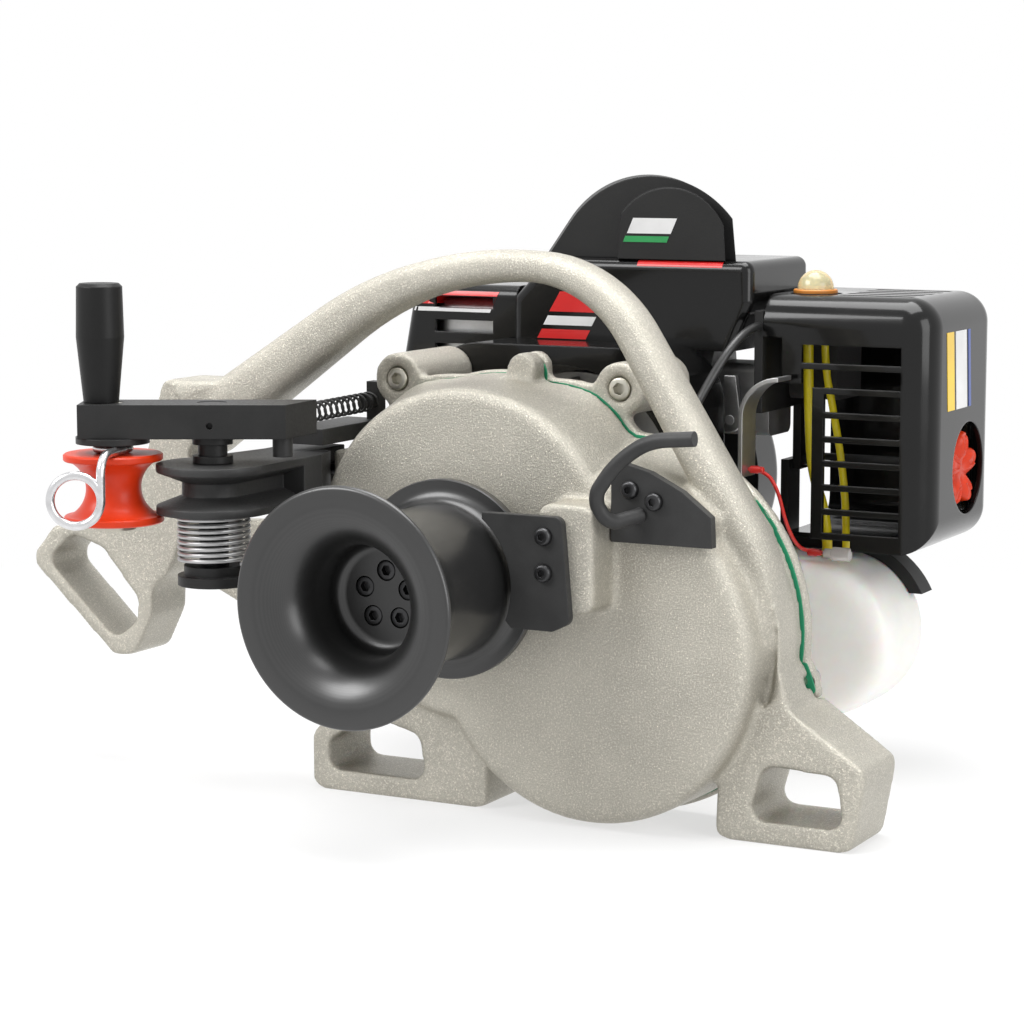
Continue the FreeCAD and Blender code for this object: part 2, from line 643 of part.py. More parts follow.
def anchor_arm():
    """The arm from the handle's left end down to the strap loop, with a web back to the lobe."""
    arm_shares = [(0.125, 0.455), (0, 0.327), (0.42, 0), (0.528, 0.015), (0.611, 0.159), (0.618, 0.255),
                  (0.7, 0.321), (0.795, 0.507), (0.84, 0.628), (0.8, 0.754), (1, 0.916), (1, 1), (0.68, 1),
                  (0.611, 0.784), (0.556, 0.616), (0.43, 0.483)]
    loop_shares = [(0.09, 0.327), (0.215, 0.426), (0.368, 0.387), (0.542, 0.213), (0.535, 0.135),
                   (0.424, 0.063)]
    round_share = 0.045
    bend = s.arm_height * round_share
    place = (-s.arm_left_x, -s.arm_low_z, s.arm_width, s.arm_height)
    arm = prism(shaped(arm_shares, *place), s.anchor_front_y, s.anchor_depth)
    arm = round_edges(arm, bend, runs_along(Vector(0, 1, 0)))
    loop = prism(shaped(loop_shares, *place), s.anchor_front_y - s.cut_overrun,
                 s.anchor_depth + s.cut_overrun * 2)
    loop = round_edges(loop, bend, runs_along(Vector(0, 1, 0)))
    web_shares = [(0, 0.91), (0.95, 1), (1, 0.1), (0.5, 0), (0.02, 0.36)]
    outline = shaped(web_shares, -s.web_left_x, -s.web_low_z, s.web_width, s.web_height)
    return arm.cut(loop).fuse(prism(outline, s.web_y, s.web_thick))


def front_case():
    """The front casting: both lobes, handle, feet, anchor arm and bosses, bored for the shafts."""
    depth = float(s.case_depth)
    inner_front = float(s.face_wall)
    body = both_lobes(0, 0, depth)
    ears = [rod(s.ear_radius, s.ear_depth, Vector(x, depth - s.ear_depth, z)) for x, z in ear_places()]
    bearing_end = float(s.drum_bearing_width * 2 - s.drum_boss_front + s.joint_gap * 2 + s.face_wall)
    drum_boss = rod(s.drum_boss_radius, s.drum_boss_front + s.cut_overrun, Vector(0, -s.drum_boss_front, 0))
    rope_boss = block(s.boss_left_x, s.boss_right_x, s.stripper_thick - s.stripper_y, s.case_wall,
                      -s.boss_drop, s.boss_top_z)
    rope_boss = round_edges(rope_boss, s.foot_round, runs_along(Vector(0, 1, 0)))
    pad = prism(hook_outline(float(s.hook_rod_radius)), 0, s.case_depth - s.ear_depth)
    seat = block(-s.guide_seat_x, -s.bracket_right_x + s.bracket_lug, s.guide_shoulder_y + s.joint_gap,
                 s.guide_rear_y, s.nose_top_z - s.guide_bar_drop, s.nose_top_z + s.collar_height)
    limbs = [handle_solid(), right_foot(), left_foot(), anchor_arm()]
    body = body.multiFuse(ears + limbs + [drum_boss, rope_boss, pad, seat])
    hollow = both_lobes(float(s.case_wall), inner_front, depth + float(s.cut_overrun))
    behind = lobes_slab(depth, s.foot_depth, -float(s.joint_gap + s.flange_lip))
    grown = s.ear_radius + s.joint_gap
    behind = behind.multiFuse([rod(grown, s.foot_depth, Vector(x, depth, z)) for x, z in ear_places()])
    body = body.cut(behind)
    shaft_boss = rod(s.drum_boss_radius, bearing_end - inner_front + s.cut_overrun,
                     Vector(0, inner_front - s.cut_overrun, 0))
    lay_boss = rod(s.lay_boss_radius, s.lay_bearing_width + s.cut_overrun,
                   Vector(lay_x, inner_front - s.cut_overrun, lay_z))
    body = body.cut(hollow).multiFuse([shaft_boss, lay_boss])
    bores = [rod(s.drum_bearing_radius, bearing_end + s.drum_boss_front + s.cut_overrun * 2,
                 Vector(0, -s.drum_boss_front - s.cut_overrun, 0)),
             rod(s.lay_bearing_radius, s.lay_bearing_width + s.cut_overrun,
                 Vector(lay_x, inner_front, lay_z))]
    screw_end = rear_end_y - s.case_screw_length - s.joint_gap
    bores += [rod(s.case_screw_radius, s.ear_depth, Vector(x, screw_end, z)) for x, z in ear_places()]
    bores += [rod(s.button_shank, button_length(), Vector(x, -s.stripper_y, z)) for x, z in stripper_holes()]
    bores += [rod(s.button_shank, button_length(), Vector(x, -s.hook_thick, z)) for x, z in hook_holes()]
    bores += [rod(s.button_shank, s.button_radius * 2, Vector(-s.guide_seat_x, y, guide_screw_z()),
                  Vector(1, 0, 0)) for y in guide_screw_places()]
    feature("front_case", one_solid(body.cut(Part.makeCompound(bores))))


def rear_case():
    """The rear casting: flange plate, clutch housing ring and four columns to the engine."""
    front = float(rear_y)
    back = float(s.engine_face)
    body = lobes_slab(front, s.rear_wall, -float(s.flange_lip))
    parts = [rod(s.ear_radius, s.rear_wall, Vector(x, front, z)) for x, z in ear_places()]
    parts += [rod(s.column_radius, back - front, Vector(x, front, z)) for x, z in bolt_places()]
    parts.append(rod(s.bell_housing_radius, back - front, Vector(0, front, engine_z)))
    parts.append(rod(s.lay_boss_radius, s.rear_wall + s.case_wall, Vector(lay_x, front, lay_z)))
    body = body.multiFuse(parts)
    inner = float(rear_end_y)
    through = s.rear_wall + s.cut_overrun * 2
    cuts = [rod(s.bell_housing_radius - s.bell_housing_wall, back - inner + s.cut_overrun,
                Vector(0, inner, engine_z)),
            rod(s.lay_bearing_radius, through, Vector(0, front - s.cut_overrun, engine_z)),
            rod(s.lay_bearing_radius, s.lay_bearing_width, Vector(lay_x, front, lay_z))]
    cuts += [rod(s.case_screw_radius + s.joint_gap, through, Vector(x, front - s.cut_overrun, z))
             for x, z in ear_places()]
    bolt_hole = s.bolt_radius + s.joint_gap
    cuts += [rod(bolt_hole, back, Vector(x, front - s.cut_overrun, z)) for x, z in bolt_places()[:2]]
    cuts += [rod(bolt_hole, back, Vector(x, low_bolt_end() - s.cut_overrun, z)) for x, z in bolt_places()[2:]]
    cuts += [rod(s.bolt_head_radius + s.joint_gap, s.bolt_head_height, Vector(x, front, z))
             for x, z in bolt_places()[:2]]
    feature("rear_case", one_solid(body.cut(Part.makeCompound(cuts))))


def case_gasket():
    """The green gasket between the castings."""
    ears = [rod(s.ear_radius, s.gasket_thick, Vector(x, gasket_y, z)) for x, z in ear_places()]
    sheet_solid = lobes_slab(gasket_y, s.gasket_thick, -float(s.flange_lip)).multiFuse(ears)
    through = s.gasket_thick + s.cut_overrun * 2
    holes = [lobes_slab(gasket_y - s.cut_overrun, through, float(s.case_wall))]
    holes += [rod(s.case_screw_radius + s.joint_gap, through, Vector(x, gasket_y - s.cut_overrun, z))
              for x, z in ear_places()]
    feature("case_gasket", one_solid(sheet_solid.cut(Part.makeCompound(holes))))


def screw(radius, length, head_radius, head_height, seat, direction):
    """A cap screw whose head sits on the seat and whose shank runs along the direction."""
    head = rod(head_radius, head_height, seat - direction * float(head_height), direction)
    return head.fuse(rod(radius, length, seat, direction)).removeSplitter()


def screws(label, seats, direction, radius, length, head_radius, head_height):
    """A group of like screws as one sub-part."""
    made = [screw(radius, length, head_radius, head_height, seat, direction) for seat in seats]
    feature(label, Part.makeCompound([item.Solids[0] for item in made]))


def bolt_places():
    """Engine bolts about the crank; the two upper ones come first."""
    half = float(s.bolt_spacing / 2)
    low_half = float(s.low_bolt_spacing / 2)
    low = engine_z - float(s.low_bolt_drop)
    return [(-half, engine_z + half), (half, engine_z + half), (-low_half, low), (low_half, low)]


def bolt_length():
    """Shank length of the engine bolts."""
    return s.engine_face - rear_y - s.bolt_head_height + s.fan_depth / 2


def low_bolt_end():
    """Where the lower bolts, put in from behind, end in their columns."""
    return s.engine_face + s.fan_depth - bolt_length()


def case_fasteners():
    """Flange screws from the rear and the four engine bolts."""
    seats = [Vector(x, rear_end_y, z) for x, z in ear_places()]
    screws("case_screws", seats, Vector(0, -1, 0), s.case_screw_radius - s.joint_gap, s.case_screw_length,
           s.case_screw_head, s.case_screw_head)
    upper = bolt_places()[:2]
    bolts = [screw(s.bolt_radius, bolt_length(), s.bolt_head_radius, s.bolt_head_height,
                   Vector(x, rear_y + s.bolt_head_height, z), Vector(0, 1, 0)) for x, z in upper]
    back_seat = s.engine_face + s.fan_depth
    bolts += [screw(s.bolt_radius, bolt_length(), s.bolt_head_radius, s.bolt_head_height,
                    Vector(x, back_seat, z), Vector(0, -1, 0)) for x, z in bolt_places()[2:]]
    feature("engine_bolts", Part.makeCompound([bolt.Solids[0] for bolt in bolts]))


# Drum, shafts and gears
def drum():
    """The capstan drum: root flange, barrel, flared mouth and bowl, bored for its shaft and bolts."""
    mouth = float(s.drum_mouth_y)
    rim = float(s.drum_mouth_radius)
    barrel = float(s.drum_barrel_radius)
    flange = float(s.drum_flange_radius)
    root = float(s.drum_flange_y + s.drum_flange_thick)
    fillet = float(s.drum_root_fillet)
    flare = float(s.drum_flare_y)
    edge = float(s.drum_rim)
    lip = float(s.drum_lip)
    throat = float(s.drum_throat_radius)
    socket = float(s.drum_socket_radius)
    back = float(s.drum_flange_y)
    floor = float(s.drum_floor_y)
    web = floor - float(s.drum_floor)
    flare_end = Vector(rim - edge / 4, mouth - edge, 0)
    flare_start = Vector(barrel, flare, 0)
    lip_start = Vector(throat + lip, mouth, 0)
    lip_end = Vector(throat, mouth - lip, 0)
    lip_crown = Vector(throat + lip * (1 - math.sqrt(0.5)), mouth - lip * (1 - math.sqrt(0.5)), 0)
    fillet_start = Vector(barrel + fillet, root, 0)
    fillet_end = Vector(barrel, root + fillet, 0)
    nose_crown = Vector(rim, mouth - edge / 2, 0)
    nose_end = Vector(rim - edge / 4, mouth, 0)
    edges = [
        Part.LineSegment(Vector(socket, back, 0), Vector(flange, back, 0)),
        Part.LineSegment(Vector(flange, back, 0), Vector(flange, root, 0)),
        Part.LineSegment(Vector(flange, root, 0), fillet_start),
        arc_from(fillet_start, Vector(-1, 0, 0), fillet_end),
        Part.LineSegment(fillet_end, flare_start),
        arc_from(flare_start, Vector(0, 1, 0), flare_end),
        Part.Arc(flare_end, nose_crown, nose_end),
        Part.LineSegment(nose_end, lip_start),
        Part.Arc(lip_start, lip_crown, lip_end),
        Part.LineSegment(lip_end, Vector(throat, floor, 0)),
        Part.LineSegment(Vector(throat, floor, 0), Vector(0, floor, 0)),
        Part.LineSegment(Vector(0, floor, 0), Vector(0, web, 0)),
        Part.LineSegment(Vector(0, web, 0), Vector(socket, web, 0)),
        Part.LineSegment(Vector(socket, web, 0), Vector(socket, back, 0)),
    ]
    profile = Part.Face(Part.Wire([curve.toShape() for curve in edges]))
    solid = profile.revolve(Vector(), Vector(0, 1, 0), FULL_TURN)
    solid.rotate(Vector(), Vector(0, 0, 1), 180)
    holes = [rod(s.drum_bolt_radius + s.joint_gap, s.drum_floor * 2, seat - Vector(0, s.drum_floor / 2, 0))
             for seat in drum_bolt_seats()]
    sunk = s.drum_bolt_radius * 2
    holes += [rod(s.drum_bolt_head + s.joint_gap, sunk, seat - Vector(0, sunk, 0))
              for seat in drum_bolt_seats()]
    feature("drum", one_solid(solid.cut(Part.makeCompound(holes))))


def drum_bolt_seats():
    """Where the bolt heads sit, sunk in the drum floor."""
    seat_y = s.drum_bolt_radius * 2 - s.drum_floor_y
    count = int(s.drum_bolt_count)
    reach = float(s.drum_bolt_circle)
    angles = [SQUARE + 2 * math.pi * index / count for index in range(count)]
    return [Vector(reach * math.cos(angle), seat_y, reach * math.sin(angle)) for angle in angles]


def drum_train():
    """The drum's bolts and shaft, its bearings and seal, and the final gear."""
    screws("drum_bolts", drum_bolt_seats(), Vector(0, 1, 0), s.drum_bolt_radius, s.drum_bolt_length,
           s.drum_bolt_head, s.drum_bolt_radius * 2)
    web = s.drum_floor_y - s.drum_floor
    flange_radius = s.drum_socket_radius - s.running_gap
    shaft_end = final_y + s.gear_width
    shaft = rod(flange_radius, s.drum_bolt_length, Vector(0, -web, 0))
    shaft = shaft.fuse(rod(s.drum_shaft_radius, web + shaft_end, Vector(0, -web, 0)))
    holes = [rod(s.drum_bolt_radius, s.drum_bolt_length, seat) for seat in drum_bolt_seats()]
    feature("drum_shaft", one_solid(shaft.cut(Part.makeCompound(holes))))
    bore = s.drum_shaft_radius + s.running_gap
    outer = s.drum_bearing_radius - s.running_gap
    ring("drum_seal", bore, outer, s.face_wall, Vector(0, -s.drum_boss_front, 0), ALONG_Y)
    front = s.face_wall + s.joint_gap - s.drum_boss_front
    back = front + s.drum_bearing_width + s.joint_gap
    bearings("drum_bearings", bore, outer, s.drum_bearing_width, [Vector(0, y, 0) for y in (front, back)])
    towards_lay = facing_angle(lay_x, lay_z)
    gear = gear_solid(s.final_teeth, s.gear_width, towards_lay, s.drum_shaft_radius)
    feature("final_gear", gear).Placement = Placement(Vector(0, final_y, 0), ALONG_Y)


def bearings(label, bore, outer, width, places, direction=Vector(0, 1, 0)):
    """Like rings as one sub-part."""
    rings = [rod(outer, width, place, direction).cut(rod(bore, width, place, direction)) for place in places]
    feature(label, Part.makeCompound([item.Solids[0] for item in rings]))


def lay_train():
    """The layshaft with its pinion cut on it, its large gear and two bearings."""
    bore = s.lay_shaft_radius + s.running_gap
    outer = s.lay_bearing_radius - s.running_gap
    width = s.lay_bearing_width
    places = [Vector(lay_x, s.face_wall, lay_z), Vector(lay_x, rear_y, lay_z), Vector(0, rear_y, engine_z)]
    bearings("shaft_bearings", bore, outer, width, places)
    front = s.face_wall + s.joint_gap
    end = rear_y + width - s.joint_gap
    towards_drum = facing_angle(-lay_x, -lay_z)
    half_tooth = math.pi / float(s.lay_pinion_teeth)
    pinion = gear_solid(s.lay_pinion_teeth, s.gear_width, towards_drum + half_tooth)
    pinion = lay_along_y(pinion, lay_x, final_y, lay_z)
    shaft = rod(s.lay_shaft_radius, end - front, Vector(lay_x, front, lay_z))
    feature("layshaft", one_solid(shaft.fuse(pinion)))
    towards_input = facing_angle(-lay_x, engine_z - lay_z)
    gear = gear_solid(s.lay_gear_teeth, s.gear_width, towards_input, s.lay_shaft_radius)
    feature("layshaft_gear", gear).Placement = Placement(Vector(lay_x, lay_gear_y, lay_z), ALONG_Y)


def input_train():
    """The input pinion on its shaft, its bearing and the clutch bell it carries."""
    half_tooth = math.pi / float(s.input_teeth)
    towards_lay = facing_angle(lay_x, lay_z - engine_z)
    pinion = gear_solid(s.input_teeth, s.gear_width, towards_lay + half_tooth)
    pinion = lay_along_y(pinion, 0, lay_gear_y, engine_z)
    shaft = rod(s.lay_shaft_radius, s.bell_start + s.bell_wall - lay_gear_y, Vector(0, lay_gear_y, engine_z))
    feature("input_pinion", one_solid(shaft.fuse(pinion)))
    inner = bell_radius - s.bell_wall
    turned("clutch_bell", [(s.lay_shaft_radius, 0), (bell_radius, 0), (bell_radius, s.bell_depth),
                           (inner, s.bell_depth), (inner, s.bell_wall), (s.lay_shaft_radius, s.bell_wall)],
           Vector(0, s.bell_start, engine_z), ALONG_Y)


def crank_train():
    """The crankshaft with the flywheel fan and the clutch shoes on its nose."""
    shoe_front = s.bell_start + s.bell_wall * 2
    shoe_width = s.bell_depth - s.bell_wall * 3
    crank_end = starter_y + s.starter_depth / 2
    feature("crankshaft", rod(s.crank_radius, crank_end - shoe_front, Vector(0, shoe_front, engine_z)))
    shoe_radius = bell_radius - s.bell_wall - s.shoe_gap
    shoes = rod(shoe_radius, shoe_width, Vector(0, shoe_front, engine_z))
    shoes = shoes.cut(rod(s.crank_radius, shoe_width, Vector(0, shoe_front, engine_z)))
    gap = block(-shoe_radius, shoe_radius, shoe_front, shoe_front + shoe_width,
                engine_z - s.bell_wall, engine_z + s.bell_wall)
    keep = rod(s.shoe_hub_radius + s.bell_wall, shoe_width, Vector(0, shoe_front, engine_z))
    feature("clutch_shoes", one_solid(shoes.cut(gap.cut(keep))))
    hub_front = s.engine_face + s.fan_depth - s.flywheel_width - s.bell_wall
    disc_front = hub_front + s.flywheel_width / 2
    wheel = rod(s.flywheel_radius, s.flywheel_width / 2, Vector(0, disc_front, engine_z))
    blade_root = s.crank_radius * 3
    blade_thick = s.bell_wall
    blades = []
    blade_count = 12
    for index in range(blade_count):
        blade = block(blade_root, s.flywheel_radius - blade_thick, hub_front, disc_front + s.cut_overrun,
                      -blade_thick / 2, blade_thick / 2)
        blade.rotate(Vector(), Vector(0, 1, 0), FULL_TURN / blade_count * index)
        blade.translate(Vector(0, 0, engine_z))
        blades.append(blade)
    bore = rod(s.crank_radius, s.flywheel_width * 2, Vector(0, hub_front, engine_z))
    wheel = wheel.multiFuse(blades).cut(bore)
    feature("flywheel", one_solid(wheel))


# Rope stripper and hook
def stripper_holes():
    """Screw places on the stripper plate."""
    across_share = 0.2
    up_shares = (0.285, 0.62)
    across = s.boss_left_x + (s.boss_right_x - s.boss_left_x) * across_share
    return [(across, s.boss_top_z - (s.boss_top_z + s.boss_drop) * share) for share in up_shares]


def stripper():
    """The plate that lifts the rope off the barrel, hollowed round the drum."""
    hollow = float(s.drum_barrel_radius + s.stripper_gap)
    tip_z = float(s.stripper_height)
    tip_x = math.sqrt(hollow ** 2 - tip_z ** 2) + float(s.stripper_gap)
    low_z = -float(s.stripper_drop)
    right = tip_x + float(s.stripper_width + s.stripper_gap * 2)
    corners = [(tip_x, tip_z), (right, tip_z), (right + s.stripper_gap, low_z + s.stripper_gap),
               (right - s.stripper_gap, low_z), (hollow, low_z), (tip_x, 0)]
    outline = prism(corners, -s.stripper_y, s.stripper_thick)
    outline = round_edges(outline, s.stripper_thick, lambda edge: runs_along(Vector(0, 1, 0))(edge)
                          and edge.CenterOfMass.x > right - s.stripper_gap * 3)
    cuts = [rod(hollow, s.stripper_y, Vector(0, -s.stripper_y - s.cut_overrun, 0))]
    cuts += [rod(s.button_shank + s.joint_gap, s.stripper_y, Vector(x, -s.stripper_y - s.cut_overrun, z))
             for x, z in stripper_holes()]
    feature("stripper_plate", one_solid(outline.cut(Part.makeCompound(cuts))))


def hook_outline(inset):
    """The hook plate's outline, its upper edge stepped along the lobe."""
    edge = float(s.hook_edge_radius) - inset
    corners = [(float(s.hook_left_x) + inset, float(s.hook_low_z) + inset),
               (float(s.hook_right_x) - inset, float(s.hook_low_z) + inset)]
    edge_degrees = (47, 58, 69, 81)
    for degrees in edge_degrees:
        angle = math.radians(degrees)
        corners.append((lay_x + edge * math.cos(angle), lay_z + edge * math.sin(angle)))
    return corners


def hook_holes():
    """Screw places on the hook plate."""
    reach_share = 0.882
    hole_degrees = (73, 64)
    reach = float(s.hook_edge_radius) * reach_share
    turns = [math.radians(degrees) for degrees in hole_degrees]
    return [(lay_x + reach * math.cos(turn), lay_z + reach * math.sin(turn)) for turn in turns]


def hook():
    """The hook plate with its holes and the bent rod that keeps the rope."""
    plate_solid = prism(hook_outline(0), -s.hook_thick, s.hook_thick)
    holes = [rod(s.button_shank + s.joint_gap, s.hook_thick * 2, Vector(x, -s.hook_thick - s.cut_overrun, z))
             for x, z in hook_holes()]
    plate_solid = plate_solid.cut(Part.makeCompound(holes))
    front = -float(s.hook_thick)
    wide = float(s.hook_right_x - s.hook_left_x)
    reach = float(s.hook_rod_radius) * 6
    route_shares = [(0.3, 0, 0.262), (0.131, 0.8, 0.206), (0.019, 1, 0.449), (0.243, 1, 0.767),
                    (0.561, 1, 0.991), (1.01, 1, 1.029)]
    route = [Vector(s.hook_left_x + wide * across, front - reach * out, s.hook_low_z + wide * up)
             for across, out, up in route_shares]
    bar = tube(rounded_route("rope_hook", route), s.hook_rod_radius)
    feature("rope_hook", one_solid(plate_solid.fuse(bar)))


def button_length():
    """Depth of the holes for the button-head screws."""
    return s.hook_thick * 3


def button_screws():
    """The button-head screws of the stripper plate, the hook plate and the guide bar."""
    head = (s.button_radius, s.button_height)
    seats = [Vector(x, -s.stripper_y, z) for x, z in stripper_holes()]
    seats += [Vector(x, -s.hook_thick, z) for x, z in hook_holes()]
    solids = [screw(s.button_shank, button_length() - s.joint_gap, *head, seat, Vector(0, 1, 0))
              for seat in seats]
    left = -s.guide_seat_x - s.guide_rear_width
    length = s.guide_rear_width + s.button_radius * 2
    solids += [screw(s.button_shank, length, *head, Vector(left, y, guide_screw_z()), Vector(1, 0, 0))
               for y in guide_screw_places()]
    feature("button_screws", Part.makeCompound([solid.Solids[0] for solid in solids]))


# Rope guide and clamp lever
def guide_screw_places():
    """Where along Y the guide bar is screwed to the case."""
    return [float(s.guide_rear_y - s.button_radius * count) for count in (2, 4)]


def guide_screw_z():
    """Height of the guide bar's screws."""
    return float(s.nose_top_z - s.guide_bar_drop / 2)


def guide_groove():
    """Corners of the rope groove: how far out from the pivot, and the height."""
    flange = float(s.nose_flange)
    slope_share = 0.4
    slope = flange * slope_share
    low = float(s.nose_bottom_z) + flange
    high = float(s.nose_top_z) - flange
    waist = float(s.groove_radius)
    return [(float(s.nose_radius), low - slope), (waist, low + slope), (waist, high - slope),
            (float(s.nose_radius), high + slope)]


def guide_block():
    """The rope guide: a nose round the pivot and a bar back to the case, grooved for the rope."""
    low = float(s.nose_bottom_z)
    top = float(s.nose_top_z)
    nose = float(s.nose_radius)
    profile = [Vector(0, 0, low), Vector(nose, 0, low)]
    profile += [Vector(out, 0, up) for out, up in guide_groove()]
    profile += [Vector(nose, 0, top), Vector(0, 0, top)]
    head = Part.Face(Part.makePolygon(profile + profile[:1])).revolve(Vector(), Vector(0, 0, 1), FULL_TURN)
    head.translate(pivot)
    rear_left = -s.guide_seat_x - s.guide_rear_width
    right = pivot.x + nose
    side_share = 0.25
    seat_x = float(s.guide_seat_x)
    shoulder_x = -seat_x + (right + seat_x) * side_share * 2
    corners = [(pivot.x - nose * side_share * 3, pivot.y + nose * side_share * 3), (pivot.x, pivot.y),
               (right, pivot.y), (right, 0), (shoulder_x, s.guide_shoulder_y), (-seat_x, s.guide_shoulder_y),
               (-seat_x, s.guide_rear_y), (rear_left, s.guide_rear_y),
               (rear_left, s.guide_rear_y - s.button_radius * 8)]
    bar_low = float(s.nose_top_z - s.guide_bar_drop)
    points = [Vector(float(x), float(y), bar_low) for x, y in corners]
    bar = Part.Face(Part.makePolygon(points + points[:1])).extrude(Vector(0, 0, s.guide_bar_drop))
    groove_end = pivot.y + float(s.groove_run)
    jaw = block(pivot.x, right, pivot.y, groove_end, low, top)
    groove = guide_groove()
    wide = float(s.cut_overrun)
    channel = [(pivot.x + out, up) for out, up in groove]
    channel = [(channel[0][0] + wide, channel[0][1])] + channel + [(channel[-1][0] + wide, channel[-1][1])]
    cuts = [rod(s.pivot_radius + s.running_gap, s.nose_top_z + s.cut_overrun, pivot, Vector(0, 0, 1)),
            prism(channel, pivot.y, s.groove_run)]
    cuts += [rod(s.button_shank + s.joint_gap, s.guide_rear_width * 2,
                 Vector(rear_left - s.cut_overrun, y, guide_screw_z()), Vector(1, 0, 0))
             for y in guide_screw_places()]
    feature("guide_block", one_solid(head.multiFuse([bar, jaw]).cut(Part.makeCompound(cuts))))


def along_lever(distance, up=0):
    """A point on the lever's centre line."""
    return pivot + lever_direction * float(distance) + Vector(0, 0, float(up))


def lever_bar(half):
    """The lever's bar, bevelled at its right end, with the spigot for the return spring."""
    ends = [(-s.lever_left, -half), (s.lever_right, -half), (s.lever_right + s.lever_bevel, half),
            (-s.lever_left, half)]
    points = [along_lever(along, s.lever_bottom_z) + lever_side * float(side) for along, side in ends]
    bar = Part.Face(Part.makePolygon(points + points[:1])).extrude(Vector(0, 0, s.lever_thick))
    bores = [rod(radius + s.running_gap, s.lever_thick, along_lever(along, s.lever_bottom_z), Vector(0, 0, 1))
             for along, radius in ((0, s.pivot_radius), (-s.roller_arm, s.roller_axle_radius))]
    near, far = pull_spring_ends()
    feature("lever_bar", one_solid(bar.cut(Part.makeCompound(bores)).fuse(spigot(near, far))))


def lever():
    """The clamp lever with its grip, shaft, collars, stop pin and the spring's cup."""
    lever_bar(s.lever_width / 2)
    shoulder_share = 0.55
    shoulder = s.grip_length * shoulder_share
    turned("lever_grip", [(0, 0), (s.grip_foot_radius, 0), (s.grip_radius, shoulder),
                          (s.grip_radius - s.joint_gap * 2, s.grip_length - s.joint_gap * 6),
                          (s.grip_radius - s.joint_gap * 8, s.grip_length), (0, s.grip_length)],
           along_lever(-s.grip_arm, lever_top_z))
    spring_top = s.nose_bottom_z - s.joint_gap
    low = float(spring_top - s.twist_height - s.joint_gap)
    bush_low = low - float(s.spring_bush_height)
    plate_low = bush_low - float(s.spring_plate_height)
    shaft_length = lever_top_z - s.joint_gap - plate_low
    shaft_low = pivot + Vector(0, 0, plate_low)
    feature("pivot_shaft", rod(s.pivot_radius, shaft_length, shaft_low, Vector(0, 0, 1)))
    inner = s.pivot_radius + s.running_gap
    collar_heights = (s.lever_bottom_z - s.collar_height, s.nose_top_z + s.joint_gap)
    places = [pivot + Vector(0, 0, z) for z in collar_heights]
    bearings("pivot_collars", inner, s.collar_radius, s.collar_height, places, Vector(0, 0, 1))
    cup_height = s.spring_plate_height + s.spring_bush_height
    turned("spring_cup", [(inner, 0), (s.spring_plate_radius, 0),
                          (s.spring_plate_radius, s.spring_plate_height),
                          (s.spring_bush_radius, s.spring_plate_height), (s.spring_bush_radius, cup_height),
                          (inner, cup_height)], shaft_low)
    turned("stop_pin", [(0, 0), (s.stop_radius, 0), (s.stop_radius, s.stop_length), (0, s.stop_length)],
           along_lever(s.stop_arm, s.lever_bottom_z - s.stop_length))


def roller():
    """The grooved rope roller on its axle, with the washer and the pull ring clip."""
    low = s.roller_bottom_z
    height = s.roller_top_z - low
    inner = s.roller_axle_radius + s.running_gap
    flat = s.roller_radius - s.joint_gap * 9
    deep = flat - s.roller_waist
    half_wide = height / 2 - s.roller_rim
    groove = (half_wide * half_wide + deep * deep) / (deep * 2)
    turned("roller", [(inner, 0), (s.roller_radius, 0), (s.roller_radius, s.roller_rim),
                      (flat, s.roller_rim, groove, "right"), (flat, height - s.roller_rim),
                      (s.roller_radius, height - s.roller_rim), (s.roller_radius, height), (inner, height)],
           roller_place + Vector(0, 0, low))
    axle_low = low - s.washer_height
    head = s.washer_height - s.joint_gap
    length = lever_top_z - axle_low - s.joint_gap
    turned("roller_axle", [(0, 0), (s.roller_axle_radius * 2, 0), (s.roller_axle_radius * 2, head),
                           (s.roller_axle_radius, head), (s.roller_axle_radius, length), (0, length)],
           roller_place + Vector(0, 0, axle_low))
    washer_low = s.lever_bottom_z - s.washer_height
    ring("roller_washer", inner, s.washer_radius, s.washer_height, roller_place + Vector(0, 0, washer_low))


def ring_clip():
    """The pull ring: a wire ring with a tail that hooks round the axle above the roller."""
    wire = float(s.ring_wire)
    reach = float(s.ring_reach)
    radius = float(s.ring_radius)
    toward = -lever_side
    eye_z = float(s.roller_top_z + s.joint_gap) + wire
    out_share = 1.1
    centre = roller_place + toward * reach - lever_direction * (radius * out_share)
    centre.z = eye_z - float(s.ring_drop)
    hoop = Part.makeTorus(radius, wire, centre, toward)
    top = centre + lever_direction * radius + Vector(0, 0, float(s.ring_drop))
    eye = float(s.roller_axle_radius + s.joint_gap) + wire
    start = centre + lever_direction * radius
    end = roller_place + Vector(0, 0, eye_z) + toward * eye + lever_direction * (radius / 2)
    tail = tube(rounded_route("ring_clip", [start, top, end]), wire)
    loop = Part.makeTorus(eye, wire, roller_place + Vector(0, 0, eye_z), Vector(0, 0, 1))
    feature("ring_clip", one_solid(hoop.fuse([tail, loop])))


# Springs
def torsion_spring():
    """The torsion spring round the pivot under the guide."""
    wire = float(s.twist_wire)
    turns = float(s.twist_turn_count)
    rise = float(s.twist_height) - 2 * wire
    low = pivot + Vector(0, 0, float(s.nose_bottom_z - s.joint_gap) - wire - rise)
    path = coil_path(low, Vector(0, 0, 1), Vector(1, 0, 0), float(s.twist_radius), rise / turns, turns,
                     2 * wire)
    least_self_gap("torsion_spring", path, wire, math.pi * float(s.twist_radius))
    feature("torsion_spring", tube(path, wire))


